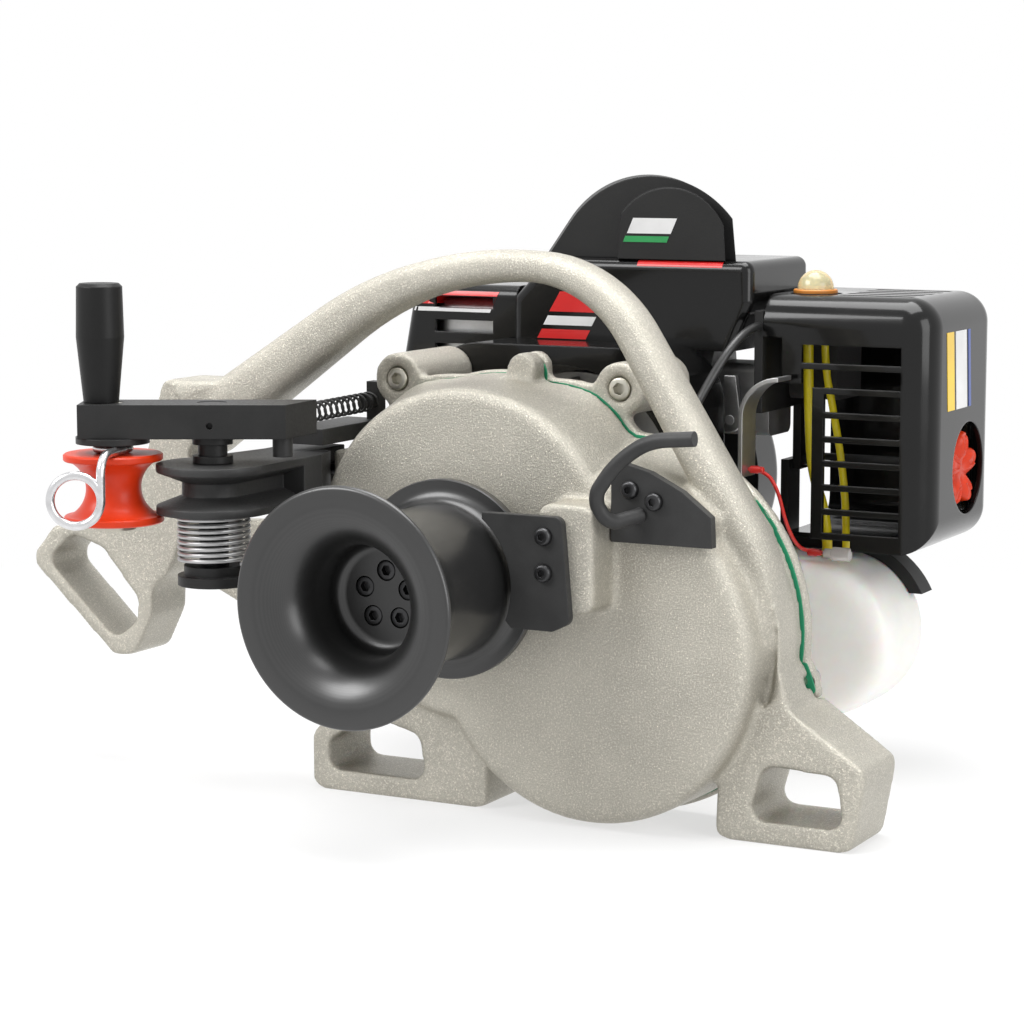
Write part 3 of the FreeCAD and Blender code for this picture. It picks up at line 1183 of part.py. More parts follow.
def pull_spring_ends():
    """Where the return spring's axis meets the lever's back face and the bracket's lug."""
    near = along_lever(s.lever_right, s.lever_bottom_z + s.lever_thick / 2)
    near += lever_side * float(s.lever_width / 2)
    far = Vector(-s.bracket_right_x - s.bracket_lug / 2, s.bracket_rear_y - s.bracket_lug, near.z)
    return near, far


def spigot(root, tip):
    """A round spigot that fills the return spring's end and points along it."""
    along = (tip - root).normalize()
    radius = s.pull_radius - s.pull_wire - s.joint_gap
    return rod(radius, s.pull_radius * 3, root - along * float(s.pull_radius), along)


def return_spring():
    """The return spring from the lever's back face to the bracket's lug."""
    wire = float(s.pull_wire)
    near, far = pull_spring_ends()
    along = (far - near).normalize()
    across = along.cross(Vector(0, 0, 1)).normalize()
    turns = float(s.pull_turn_count)
    lead = float(s.pull_radius - s.pull_wire)
    pitch = ((far - near).Length - 2 * lead) / turns
    path = coil_path(near + along * lead, along, across, float(s.pull_radius), pitch, turns, 2 * wire)
    least_self_gap("return_spring", path, wire, math.pi * float(s.pull_radius))
    feature("return_spring", tube(path, wire))


def spring_bracket():
    """The flat bar on the case that carries the return spring's lug."""
    low = s.nose_top_z + s.collar_height
    bar = block(-s.bracket_right_x - s.bracket_width, -s.bracket_right_x, s.bracket_front_y,
                s.bracket_rear_y, low, low + s.bracket_thick)
    lug = block(-s.bracket_right_x - s.bracket_lug, -s.bracket_right_x, s.bracket_rear_y - s.bracket_lug,
                s.bracket_rear_y, low, low + s.bracket_thick + s.bracket_lug_height)
    near, far = pull_spring_ends()
    feature("spring_bracket", one_solid(bar.multiFuse([lug, spigot(far, near)])))


# Engine blocks
def fan_housing():
    """The engine's front housing, open round the flywheel."""
    half = s.fan_half
    bend = s.fan_round
    low = engine_z - half
    top = engine_z + half
    corners = [(-half + bend, low), (half - bend, low, bend, "left"), (half, low + bend),
               (half, top - bend, bend, "left"), (half - bend, top), (-half + bend, top, bend, "left"),
               (-half, top - bend), (-half, low + bend, bend, "left")]
    holes = [(0, engine_z, s.fan_bore)]
    holes += [(x, z, s.bolt_radius + s.joint_gap) for x, z in bolt_places()]
    plate("fan_housing", corners, s.fan_depth, Vector(0, s.engine_face, 0), holes)


def crankcase():
    """The crankcase block behind the fan, with its flange, bored for the crank."""
    half = s.crankcase_half
    body = block(-half, half, crankcase_y, starter_y, crankcase_low, crankcase_top)
    body = round_edges(body, half / 3, lambda edge: runs_along(Vector(0, 1, 0))(edge)
                       and edge.CenterOfMass.z < engine_z)
    flange = rod(s.fan_bore + s.shroud_wall, s.shroud_wall, Vector(0, crankcase_y, engine_z))
    bore = rod(s.crank_radius + s.running_gap, s.crankcase_depth, Vector(0, crankcase_y, engine_z))
    feature("crankcase", one_solid(body.fuse(flange).cut(bore)))


def cylinder():
    """The finned cylinder standing on the crankcase."""
    pitch = s.cylinder_height / s.fin_count
    corners = [(0, 0)]
    for index in range(int(s.fin_count)):
        low = pitch * index + pitch * (1 - s.fin_share) / 2
        high = low + pitch * s.fin_share
        corners += [(s.cylinder_core, pitch * index), (s.cylinder_core, low), (s.cylinder_fin, low),
                    (s.cylinder_fin, high), (s.cylinder_core, high)]
    corners = [(0, 0)] + corners[1:] + [(s.cylinder_core, s.cylinder_height), (0, s.cylinder_height)]
    turned("cylinder", corners, Vector(0, s.cylinder_y, crankcase_top))


def shroud_outline(inset):
    """The cylinder shroud seen from the front."""
    left = -float(s.shroud_left_x) + inset
    right = float(s.shroud_right_x) - inset
    top = float(s.shroud_top_z) - inset
    low = float(s.shroud_low_z)
    chamfer_share = 0.46
    chamfer = float(s.shroud_top_z - s.shroud_low_z) * chamfer_share
    return [(left, low), (right - chamfer / 2, low), (right, top - chamfer), (right - inset / 2, top),
            (left + chamfer, top), (left, top - chamfer)]


def cylinder_shroud():
    """The glossy shroud over the cylinder, open below."""
    solid = prism(shroud_outline(0), s.shroud_front_y, s.shroud_depth)
    solid = round_edges(solid, s.shroud_wall * 2,
                        lambda edge: edge.CenterOfMass.z > s.shroud_low_z + s.shroud_wall)
    wall = float(s.shroud_wall)
    hollow = prism(shroud_outline(wall), s.shroud_front_y + wall, s.shroud_depth - wall * 2)
    hollow.translate(Vector(0, 0, -wall))
    port_place = port_start() - Vector(s.shroud_wall / 2, 0, 0)
    port = rod(port_radius() + s.joint_gap * 2, s.shroud_wall * 2, port_place, Vector(1, 0, 0))
    feature("cylinder_shroud", one_solid(solid.cut(Part.makeCompound([hollow, port]))))


def port_radius():
    """Radius of the exhaust port."""
    port_share = 0.42
    return s.cylinder_core * port_share


def port_start():
    """Where the exhaust port leaves the muffler."""
    return Vector(-s.shroud_left_x, s.cylinder_y, crankcase_top + s.cylinder_height / 2)


def top_cover():
    """The matt arched cover over the spark plug."""
    left = -float(s.hump_left_x)
    right = float(s.hump_right_x)
    low = float(s.shroud_top_z)
    rise = float(s.hump_height)
    width = right - left
    front = float(s.hump_front_y)

    def arch(shares, front_y, depth):
        points = [Vector(left + width * across, front_y, low + rise * up) for across, up in shares]
        edges = [Part.LineSegment(points[0], points[1]), Part.Arc(points[1], points[2], points[3]),
                 Part.LineSegment(points[3], points[4]), Part.LineSegment(points[4], points[0])]
        outline = Part.Face(Part.Wire([edge.toShape() for edge in edges]))
        return outline.extrude(Vector(-float(depth) * lean_share, float(depth), 0))

    lean_share = 0.5
    outer_shares = [(0, 0), (0.12, 0.42), (0.58, 1), (0.98, 0.5), (1, 0)]
    face_shares = [(0.42, 0), (0.44, 0.55), (0.72, 0.86), (0.97, 0.42), (0.98, 0)]
    main = arch(outer_shares, front, s.hump_depth)
    face = arch(face_shares, front - float(s.shroud_round), s.shroud_round)
    feature("top_cover", one_solid(main.fuse(face)))


def muffler_set():
    """The slotted muffler guard and the muffler inside it."""
    left = -float(s.guard_left_x)
    right = -float(s.shroud_left_x)
    low = float(s.guard_low_z)
    top = float(s.guard_top_z)
    lean = float(s.guard_lean)
    wall = float(s.guard_wall)
    front = float(s.guard_front_y)
    depth = float(s.guard_depth)
    outer = prism([(left, low), (right, low), (right, top), (left + lean, top)], front, depth)
    outer = round_edges(outer, wall * 3, lambda edge: edge.CenterOfMass.x < right - wall)
    hollow = prism([(left + wall, low + wall), (right + wall, low + wall), (right + wall, top - wall),
                    (left + lean + wall, top - wall)], front + wall, depth - 2 * wall)
    slots = []
    rows = 4
    slots_low = low + (top - low) / 3
    pitch = (top - low) * 2 / 3 / rows
    slot_height = pitch / 2
    for row in range(rows):
        height = slots_low + pitch * row
        slots.append(block(left + lean * 2, right - lean, front - wall, front + wall * 2, height,
                           height + slot_height))
    feature("muffler_guard", one_solid(outer.cut(Part.makeCompound([hollow] + slots))))
    margin = float(s.muffler_margin)
    box = block(left + lean + margin, right, front + margin, front + depth - margin, low + margin,
                top - margin)
    box = round_edges(box, margin, lambda edge: edge.CenterOfMass.x < right - margin)
    port = rod(port_radius(), s.shroud_left_x - s.cylinder_fin, port_start(), Vector(1, 0, 0))
    feature("muffler", one_solid(box.fuse(port)))


def starter():
    """The recoil starter at the rear, with its pull grip."""
    bend = s.starter_round
    turned("starter_housing", [(s.crank_radius + s.joint_gap * 2, 0), (s.starter_radius, 0),
                               (s.starter_radius, s.starter_depth - bend, bend, "left"),
                               (s.starter_radius - bend, s.starter_depth), (0, s.starter_depth),
                               (0, s.starter_depth / 2 + s.joint_gap * 2),
                               (s.crank_radius + s.joint_gap * 2, s.starter_depth / 2 + s.joint_gap * 2)],
           Vector(0, starter_y, engine_z), ALONG_Y)
    grip_radius = s.starter_grip_radius
    half = s.starter_grip_length / 2
    end_radius = grip_radius * 3 / 4
    turned("starter_grip", [(0, -half), (end_radius, -half), (grip_radius, -half / 2), (end_radius, 0),
                            (grip_radius, half / 2), (end_radius, half), (0, half)],
           Vector(-s.starter_radius - grip_radius, starter_y + half, engine_z), ALONG_Y)


# Air filter, carburettor and throttle
def filter_cover():
    """The air filter cover: a rounded shell with a slatted front, top vents, hose window and knob opening."""
    left = float(s.filter_left_x)
    right = float(s.filter_right_x)
    front = float(s.filter_front_y)
    back = front + float(s.filter_depth)
    low = float(s.filter_low_z)
    top = float(s.filter_top_z)
    wall = float(s.filter_wall)
    bend = float(s.filter_round)
    shell = block(left, right, front, back, low, top)
    shell = round_edges(shell, bend, lambda edge: edge.CenterOfMass.x > right - wall or (
        runs_along(Vector(1, 0, 0))(edge)
        and (edge.CenterOfMass.y > front + wall or edge.CenterOfMass.z > top - wall)))
    hollow = block(left - wall, right - wall, front + wall, back - wall, low + wall, top - wall)
    hollow = round_edges(hollow, bend - wall, lambda edge: edge.CenterOfMass.x > right - wall * 2 or (
        runs_along(Vector(1, 0, 0))(edge)
        and (edge.CenterOfMass.y > front + wall * 2 or edge.CenterOfMass.z > top - wall * 2)))
    count = int(s.slat_count)
    slat = float(s.slat_thick)
    grille_low = low + float(s.grille_low)
    pitch = (top - float(s.grille_high) - grille_low) / count
    slots = []
    for index in range(count):
        height = grille_low + pitch * index
        start = s.grille_left_x if height + pitch < s.window_top_z + slat else left + s.grille_high
        slots.append(block(start, right - bend, front - wall, front + wall * 2, height,
                           height + pitch - slat))
    vents = 5
    for index in range(vents):
        y = front + bend + (back - front - bend * 2) * index / vents
        slots.append(block(s.grille_left_x, right - bend, y, y + slat * 2, top - wall * 2, top + wall))
    slots.append(block(left - wall, s.window_right_x, front - wall, front + wall * 2, low - wall,
                       s.window_top_z))
    slots.append(block(left - wall, left + s.grille_high / 2, front - wall, front + wall * 2, low - wall,
                       top - s.grille_high))
    slots.append(block(left - wall, s.grille_left_x + bend, front - wall, s.primer_y + s.primer_radius,
                       low - wall, low + wall * 2))
    slots.append(rod(s.knob_hole, wall * 4, Vector(right - wall * 2, s.knob_y, s.knob_z), Vector(1, 0, 0)))
    slots.append(rod(s.primer_radius + s.base_thick, wall * 4, Vector(s.primer_x, s.primer_y, top - wall * 2),
                     Vector(0, 0, 1)))
    feature("filter_cover", one_solid(shell.cut(Part.makeCompound([hollow] + slots))))


def base_low_z():
    """Lower edge of the filter base, above the knob."""
    return s.knob_z + s.knob_radius + s.base_thick * 2


def filter_insides():
    """The base with its knob stud and primer cup, the foam element, the knob and the primer bulb."""
    left = s.filter_left_x
    top = s.filter_top_z
    front = s.filter_front_y
    back = front + s.filter_depth
    inset = s.filter_round
    face_x = left - s.base_thick
    body = block(face_x, left, front, back - inset, base_low_z(), top - inset / 2)
    stud_end = s.filter_right_x - s.knob_depth
    half_arm = s.stand_leg / 2
    arm = block(face_x, left, s.knob_y - half_arm, s.knob_y + half_arm, s.knob_z - half_arm, base_low_z())
    stud = rod(s.bolt_radius, stud_end - face_x, Vector(face_x, s.knob_y, s.knob_z), Vector(1, 0, 0))
    cup_radius = s.primer_radius + s.base_thick / 2
    place = Vector(s.primer_x, s.primer_y, cup_floor - s.base_thick)
    cup = rod(cup_radius, cup_top - cup_floor + s.base_thick, place, Vector(0, 0, 1))
    cup = cup.cut(rod(s.primer_radius + s.joint_gap, s.primer_height, place + Vector(0, 0, s.base_thick),
                      Vector(0, 0, 1)))
    carrier = block(face_x, s.primer_x, s.primer_y - cup_radius / 2, s.primer_y + cup_radius / 2,
                    cup_floor - s.base_thick, cup_floor)
    feature("filter_base", one_solid(body.multiFuse([arm, stud, cup, carrier])))
    margin = s.element_margin
    element = block(left, left + s.element_depth, s.primer_y + s.primer_radius, back - margin * 2,
                    base_low_z() + s.base_thick, cup_floor - s.base_thick * 2)
    feature("filter_element", round_edges(element, s.base_thick, runs_along(Vector(1, 0, 0))))
    tip = s.knob_radius / 3
    star = rod(s.knob_radius - tip, s.knob_depth, Vector(), Vector(0, 0, 1))
    lobes = 5
    for index in range(lobes):
        angle = 2 * math.pi * index / lobes
        offset = float(s.knob_radius - tip)
        place = Vector(offset * math.cos(angle), offset * math.sin(angle), 0)
        star = star.fuse(rod(tip, s.knob_depth, place, Vector(0, 0, 1)))
    knob = feature("filter_knob", one_solid(star))
    knob.Placement = Placement(Vector(stud_end, s.knob_y, s.knob_z), ALONG_X)
    radius = s.primer_radius
    dome = s.primer_height - s.primer_base
    dome_radius = (radius * radius + dome * dome) / (dome * 2)
    turned("primer_bulb", [(0, 0), (radius, 0), (radius, s.primer_base, dome_radius, "left"),
                           (0, s.primer_height)], Vector(s.primer_x, s.primer_y, bulb_low))


def carburettor():
    """The carburettor block with its intake to the cylinder and the throttle pin."""
    half = s.carb_width / 2
    right = s.filter_left_x - s.base_thick
    left = right - s.carb_width
    tall = s.carb_height / 2
    body = block(left, right, s.carb_y - half, s.carb_y + half, s.carb_z - tall, s.carb_z + tall)
    body = round_edges(body, s.base_thick, runs_along(Vector(1, 0, 0)))
    intake = rod(s.intake_radius, left - s.cylinder_fin,
                 Vector(s.cylinder_fin, s.cylinder_y, crankcase_top + s.intake_radius), Vector(1, 0, 0))
    pin_end = Vector(throttle_x(), throttle_y(), throttle_z())
    pin = rod(s.throttle_pin, s.carb_y - half - throttle_y(), pin_end)
    feature("carburettor", one_solid(body.multiFuse([intake, pin])))


def throttle_x():
    """The throttle lever's axis, across."""
    return float(s.filter_left_x - s.base_thick) - float(s.carb_width) / 2


def throttle_y():
    """The front end of the throttle pin."""
    return float(s.filter_front_y) + float(s.throttle_thick)


def throttle_z():
    """The throttle lever's axis height."""
    return float(s.carb_z) - float(s.carb_height) / 4


def throttle():
    """The throttle lever on the carburettor pin and the bright strap that holds its cable."""
    eye = s.throttle_eye
    length = s.throttle_length
    place = Vector(throttle_x(), throttle_y() + s.joint_gap, throttle_z())
    plate("throttle_lever", [(-eye, 0, eye, "left"), (0, -eye, eye, "left"), (eye, 0), (eye / 2, length),
                             (-eye / 2, length)], s.throttle_thick, place,
          [(0, 0, s.throttle_pin + s.running_gap)])
    throttle_strap()


def throttle_strap():
    """The bright strap: a foot on the engine, an upright and a quarter round to the right."""
    radius = float(s.strap_radius)
    thick = float(s.strap_thick)
    foot_x = float(s.fan_half)
    x = float(s.strap_x)
    low = float(s.strap_low_z)
    crown = float(s.strap_crown_z)
    half_root = math.sqrt(0.5)
    inner = radius - thick
    end_x = x + radius
    bend_x = [end_x - radius * half_root, end_x - inner * half_root]
    tab = low + thick * 3
    outline = [Vector(foot_x, 0, low), Vector(foot_x, 0, tab), Vector(foot_x + thick, 0, tab),
               Vector(foot_x + thick, 0, low + thick), Vector(x, 0, low + thick), Vector(x, 0, crown)]
    edges = [Part.LineSegment(start, end) for start, end in zip(outline, outline[1:])]
    tip = [Vector(end_x, 0, crown + radius), Vector(end_x, 0, crown + inner)]
    edges.append(Part.Arc(outline[-1], Vector(bend_x[0], 0, crown + radius * half_root), tip[0]))
    edges.append(Part.LineSegment(*tip))
    right = [Vector(x + thick, 0, crown), Vector(x + thick, 0, low)]
    edges.append(Part.Arc(tip[1], Vector(bend_x[1], 0, crown + inner * half_root), right[0]))
    edges.append(Part.LineSegment(*right))
    edges.append(Part.LineSegment(right[1], outline[0]))
    strap = Part.Face(Part.Wire([edge.toShape() for edge in edges])).extrude(Vector(0, s.strap_width, 0))
    strap.translate(Vector(0, crankcase_y - s.strap_width, 0))
    feature("throttle_strap", strap)


# Fuel tank
def tank():
    """The translucent tank with a round right end, its cap, stand and bracket."""
    left = -float(s.tank_left_x)
    right = float(s.tank_right_x)
    top = float(crankcase_low)
    low = top - float(s.tank_height)
    front = float(s.tank_front_y)
    depth = float(s.tank_depth)
    end = float(s.tank_end_radius)
    centre_z = top - end
    edges = [Part.LineSegment(Vector(left, front, top), Vector(right - end, front, top)),
             arc_from(Vector(right - end, front, top), Vector(1, 0, 0), Vector(right, front, centre_z)),
             arc_from(Vector(right, front, centre_z), Vector(0, 0, -1), Vector(right - end, front, low)),
             Part.LineSegment(Vector(right - end, front, low), Vector(left, front, low)),
             Part.LineSegment(Vector(left, front, low), Vector(left, front, top))]
    solid = Part.Face(Part.Wire([edge.toShape() for edge in edges])).extrude(Vector(0, depth, 0))
    solid = round_edges(solid, s.tank_round, lambda edge: edge.CenterOfMass.x < left + s.joint_gap
                        and runs_along(Vector(0, 1, 0))(edge))
    neck_place = Vector(left + s.cut_overrun, front + depth / 2, centre_z)
    neck = rod(s.neck_radius, s.neck_length + s.cut_overrun, neck_place, Vector(-1, 0, 0))
    feature("fuel_tank", one_solid(solid.fuse(neck)))
    bore = s.neck_radius + s.running_gap
    bore_end = s.neck_length + s.joint_gap
    turned("fuel_cap", [(0, bore_end), (bore, bore_end), (bore, s.joint_gap), (s.cap_radius, s.joint_gap),
                        (s.cap_radius, s.cap_depth), (0, s.cap_depth)],
           Vector(left, front + depth / 2, centre_z), Rotation(Vector(0, 1, 0), -90))
    half = s.stand_half
    leg = s.stand_leg
    stand_top = low
    corners = [(-half, ground_z), (leg - half, ground_z), (leg - half, stand_top - s.stand_plate),
               (half - leg, stand_top - s.stand_plate), (half - leg, ground_z), (half, ground_z),
               (half, stand_top), (-half, stand_top)]
    plate("tank_stand", corners, s.tank_depth - s.stand_margin * 2,
          Vector(0, s.tank_front_y + s.stand_margin, 0))
    tank_bracket(top, right - end, centre_z)


def tank_bracket(top, bend_x, centre_z):
    """The bracket from the filter base along the tank's top and round its right end."""
    left = s.filter_left_x - s.base_thick * 2
    back = s.knob_y + s.stand_leg / 2
    front = s.knob_y - s.stand_leg
    end = s.tank_end_radius
    upright = block(left, left + s.base_thick, front, back, top, s.knob_z)
    foot = block(left, bend_x, front, back, top, top + s.clip_thick)
    hoop = rod(end + s.clip_thick, back - front, Vector(bend_x, front, centre_z))
    hoop = hoop.cut(rod(end, back - front, Vector(bend_x, front, centre_z)))
    hoop = hoop.common(block(bend_x, bend_x + end * 2, front, back, centre_z + end / 2, top + end))
    feature("tank_bracket", one_solid(upright.multiFuse([foot, hoop])))


def line_route(shares, low, high):
    """A route inside the filter cover, from shares of its width and depth and of a height."""
    wide = float(s.filter_right_x - s.filter_left_x)
    deep = float(s.filter_depth)
    tall = float(high - low)
    return [Vector(s.filter_left_x + wide * across, s.filter_front_y + deep * back, low + tall * up)
            for across, back, up in shares]


def lines():
    """The two fuel lines from the tank up to the primer cup, the throttle hose and the stop wire."""
    top = float(crankcase_low)
    cup_low = float(cup_floor - s.base_thick)
    main_shares = [(0.314, 0.221, 0), (0.314, 0.221, 0.156), (0.206, 0.23, 0.358), (0.176, 0.257, 0.588),
                   (0.157, 0.274, 0.79), (0.157, 0.274, 1)]
    spare_shares = [(0.412, 0.257, 0), (0.412, 0.257, 0.17), (0.373, 0.274, 0.386), (0.314, 0.283, 0.602),
                    (0.255, 0.274, 0.804), (0.255, 0.274, 1)]
    main = hose("fuel_line", line_route(main_shares, top, cup_low), s.hose_radius)
    spare = hose("return_line", line_route(spare_shares, top, cup_low), s.thin_hose_radius)
    feature("fuel_lines", Part.makeCompound([main, spare]))
    start = Vector(s.filter_left_x - s.base_thick / 2, s.filter_front_y, s.filter_top_z - s.filter_round)
    end = Vector(s.fan_half + s.base_thick, rear_end_y, engine_z + s.intake_radius * 2)
    span = end - start
    hose_shares = [(0, 0, 0), (0, 0.24, 0), (1.15, 0.51, 0.65), (1, 0.76, 1), (1, 1, 1)]
    route = [start + Vector(span.x * across, span.y * back, span.z * up) for across, back, up in hose_shares]
    feature("throttle_hose", hose("throttle_hose", route, s.cable_radius))
    stop_wire(top)


def stop_wire(top):
    """The red stop wire from the strap down to the connector that lies on the tank."""
    plug = float(s.connector_radius)
    start = Vector(s.strap_x + s.strap_thick, crankcase_y - s.strap_width / 2, s.strap_low_z + plug)
    end = Vector(s.window_right_x + plug, s.tank_front_y + plug * 2, top + plug)
    span = end - start
    wire_shares = [(0, 0, 0), (0.288, 0, 0), (0.479, 0.074, 0.221), (0.507, 0.407, 0.604),
                   (0.562, 0.741, 0.865), (0.671, 1, 1), (1, 1, 1)]
    route = [start + Vector(span.x * across, span.y * back, span.z * up) for across, back, up in wire_shares]
    line = hose("stop_wire", route, s.wire_radius)
    sleeve = rod(plug, s.connector_length, end, Vector(1, 0, 0))
    feature("stop_wire", one_solid(line.fuse(sleeve)))


front_case()
rear_case()
case_gasket()
case_fasteners()
drum()
drum_train()
lay_train()
input_train()
crank_train()
stripper()
hook()
guide_block()
button_screws()
lever()
roller()
ring_clip()
torsion_spring()
return_spring()
spring_bracket()
fan_housing()
crankcase()
cylinder()
cylinder_shroud()
top_cover()
muffler_set()
starter()
filter_cover()
filter_insides()
carburettor()
throttle()
tank()
lines()
doc.recompute()

# Checks before anything is written
for item in doc.Objects:
    if "Invalid" in item.State or "Error" in item.State:
        raise RuntimeError(f"{item.Label} failed: {item.State}")
for label, item in nodes.items():
    if item.Shape.isNull() or not item.Shape.isValid():
        raise RuntimeError(f"{label} has no valid shape")

# Sets the whole winch down with the origin under its middle
whole = FreeCAD.BoundBox()
for item in nodes.values():
    whole.add(item.Shape.optimalBoundingBox(False, False))
shift = Placement(Vector(-whole.Center.x, -whole.Center.y, float(s.axis_height)), UPRIGHT)
print("shift", [round(value, 4) for value in shift.Base])
os.makedirs("parts", exist_ok=True)
for label, item in nodes.items():
    item.Placement = shift.multiply(item.Placement)
    item.Shape.exportStep(f"parts/{label}.step")
print(len(nodes), "sub-parts")
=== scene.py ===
import json
import math
import bpy
import bmesh
from mathutils import Matrix, Vector
from mathutils.bvhtree import BVHTree


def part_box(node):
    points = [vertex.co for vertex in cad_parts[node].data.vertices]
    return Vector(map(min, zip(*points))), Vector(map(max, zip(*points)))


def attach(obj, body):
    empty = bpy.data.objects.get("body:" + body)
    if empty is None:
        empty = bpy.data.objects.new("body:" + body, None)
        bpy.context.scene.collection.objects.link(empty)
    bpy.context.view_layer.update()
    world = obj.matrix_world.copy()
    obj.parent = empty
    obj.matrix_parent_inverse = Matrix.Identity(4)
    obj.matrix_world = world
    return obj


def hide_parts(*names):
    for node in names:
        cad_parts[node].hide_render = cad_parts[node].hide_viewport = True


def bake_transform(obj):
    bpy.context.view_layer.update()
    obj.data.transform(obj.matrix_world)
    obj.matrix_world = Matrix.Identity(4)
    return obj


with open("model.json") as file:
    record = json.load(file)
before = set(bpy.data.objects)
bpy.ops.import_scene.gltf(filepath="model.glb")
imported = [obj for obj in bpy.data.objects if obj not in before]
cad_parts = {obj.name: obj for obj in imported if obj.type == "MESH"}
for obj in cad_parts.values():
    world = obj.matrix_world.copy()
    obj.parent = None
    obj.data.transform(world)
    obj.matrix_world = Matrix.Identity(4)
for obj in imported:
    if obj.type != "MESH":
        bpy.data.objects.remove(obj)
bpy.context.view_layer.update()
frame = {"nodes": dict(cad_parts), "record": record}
nodes = frame["nodes"]
scene = bpy.context.scene
scene.view_settings.view_transform = "Standard"

# Sizes are in millimetres, and places count from where the drum axis meets the case face
MM = 0.001
AXIS = Vector((33.8814, -72.5698, 133.0)) * MM
FORWARD = (0, -1, 0)
BACKWARD = (0, 1, 0)
RIGHT = (1, 0, 0)
LEFT = (-1, 0, 0)
UP = (0, 0, 1)
DOWN = (0, 0, -1)

# Shafts and lobes of the gear case, across and up from the axis
LAY_REACH = 86.0
LAY_DROP = math.radians(26.1)
LAY_X = LAY_REACH * math.cos(LAY_DROP)
LAY_Z = -LAY_REACH * math.sin(LAY_DROP)
GEAR_REACH = 103.0
ENGINE_Z = LAY_Z + math.sqrt(GEAR_REACH ** 2 - LAY_X ** 2)
UPPER_LOBE = Vector((0.0, 10.8))
LOWER_LOBE = Vector((LAY_X, LAY_Z + 10.0))
UPPER_FLANGE = 104.0
LOWER_FLANGE = 103.5
FLANGE_BACK = 61.0
COLUMN_SPAN = 70.0
COLUMNS = [Vector((side * COLUMN_SPAN, ENGINE_Z + COLUMN_SPAN)) for side in (-1, 1)]

# The clamp lever's pivot and the lever's angle to the case
PIVOT_X = -119.0
PIVOT_Y = -62.0
LEVER_LEAN = math.radians(27.7)


def at(x, y, z):
    """A place given in millimetres from the drum axis at the case face."""
    return AXIS + Vector((x, y, z)) * MM


def measured(spot):
    """The millimetres from the drum axis at the case face to a place."""
    return (spot - AXIS) / MM


def around(middle, reach, turn, depth):
    """A place at a reach and a turn round a middle that is given across and up."""
    return at(middle[0] + reach * math.cos(turn), depth, middle[1] + reach * math.sin(turn))


def between(value, low, high):
    """Nought below the low value, one above the high one, and a straight rise between."""
    return min(1.0, max(0.0, (value - low) / (high - low)))


# Materials
class Paint:
    """A node material built step by step round one Principled shader."""

    def __init__(self, name):
        self.material = bpy.data.materials.new(name)
        self.material.use_nodes = True
        self.tree = self.material.node_tree
        self.shader = self.tree.nodes["Principled BSDF"]
        self.place = self.tree.nodes.new("ShaderNodeTexCoord").outputs["Object"]

    def set(self, **values):
        """Sets the shader's own sockets, named with underscores for spaces."""
        for key, value in values.items():
            self.shader.inputs[key.replace("_", " ")].default_value = value
        return self

    def link(self, out, socket):
        self.tree.links.new(out, socket)

    def noise(self, scale, detail=3.0, rough=0.55):
        node = self.tree.nodes.new("ShaderNodeTexNoise")
        node.inputs["Scale"].default_value = scale
        node.inputs["Detail"].default_value = detail
        node.inputs["Roughness"].default_value = rough
        self.link(self.place, node.inputs["Vector"])
        return node.outputs["Fac"]

    def cells(self, scale):
        node = self.tree.nodes.new("ShaderNodeTexVoronoi")
        node.inputs["Scale"].default_value = scale
        self.link(self.place, node.inputs["Vector"])
        return node.outputs["Distance"]

    def bands(self, scale, axis, distortion):
        node = self.tree.nodes.new("ShaderNodeTexWave")
        node.bands_direction = axis
        node.inputs["Scale"].default_value = scale
        node.inputs["Distortion"].default_value = distortion
        self.link(self.place, node.inputs["Vector"])
        return node.outputs["Fac"]

    def ramp(self, source, low, high):
        """A colour that goes from the low one at 0.3 of the source to the high one at 0.7."""
        node = self.tree.nodes.new("ShaderNodeValToRGB")
        stops = ((0.3, low), (0.7, high))
        for element, (spot, colour) in zip(node.color_ramp.elements, stops):
            element.position = spot
            element.color = (*colour, 1.0)
        self.link(source, node.inputs["Fac"])
        return node.outputs["Color"]

    def span(self, source, low, high, from_low=0.3, from_high=0.7):
        """A number that goes from low to high while the source goes through its own range."""
        node = self.tree.nodes.new("ShaderNodeMapRange")
        keys = ("From Min", "From Max", "To Min", "To Max")
        for key, value in zip(keys, (from_low, from_high, low, high)):
            node.inputs[key].default_value = value
        self.link(source, node.inputs["Value"])
        return node.outputs["Result"]

    def mix(self, factor, first, second):
        """A blend of two colours, each a tuple or the output of a node."""
        node = self.tree.nodes.new("ShaderNodeMix")
        node.data_type = "RGBA"
        sockets = [item for item in node.inputs if item.type == "RGBA"]
        for socket, value in zip(sockets, (first, second)):
            if isinstance(value, tuple):
                socket.default_value = (*value, 1.0)
            else:
                self.link(value, socket)
        self.link(factor, node.inputs["Factor"])
        return next(item for item in node.outputs if item.type == "RGBA")

    def colour(self, out):
        self.link(out, self.shader.inputs["Base Color"])
        return self

    def rough(self, out):
        self.link(out, self.shader.inputs["Roughness"])
        return self

    def relief(self, layers, edge=0.0):
        """Bumps, each a source, its strength and its height in metres, over edges rounded by a radius."""
        normal = None
        if edge:
            node = self.tree.nodes.new("ShaderNodeBevel")
            node.samples = 6
            node.inputs["Radius"].default_value = edge
            normal = node.outputs["Normal"]
        for source, strength, height in layers:
            node = self.tree.nodes.new("ShaderNodeBump")
            node.inputs["Strength"].default_value = strength
            node.inputs["Distance"].default_value = height
            self.link(source, node.inputs["Height"])
            if normal:
                self.link(normal, node.inputs["Normal"])
            normal = node.outputs["Normal"]
        self.link(normal, self.shader.inputs["Normal"])
        return self.material


def grey(value):
    """A neutral colour."""
    return (value, value, value)


def warm(value):
    """The yellowish grey of blasted aluminium."""
    return (value * 1.05, value, value * 0.87)


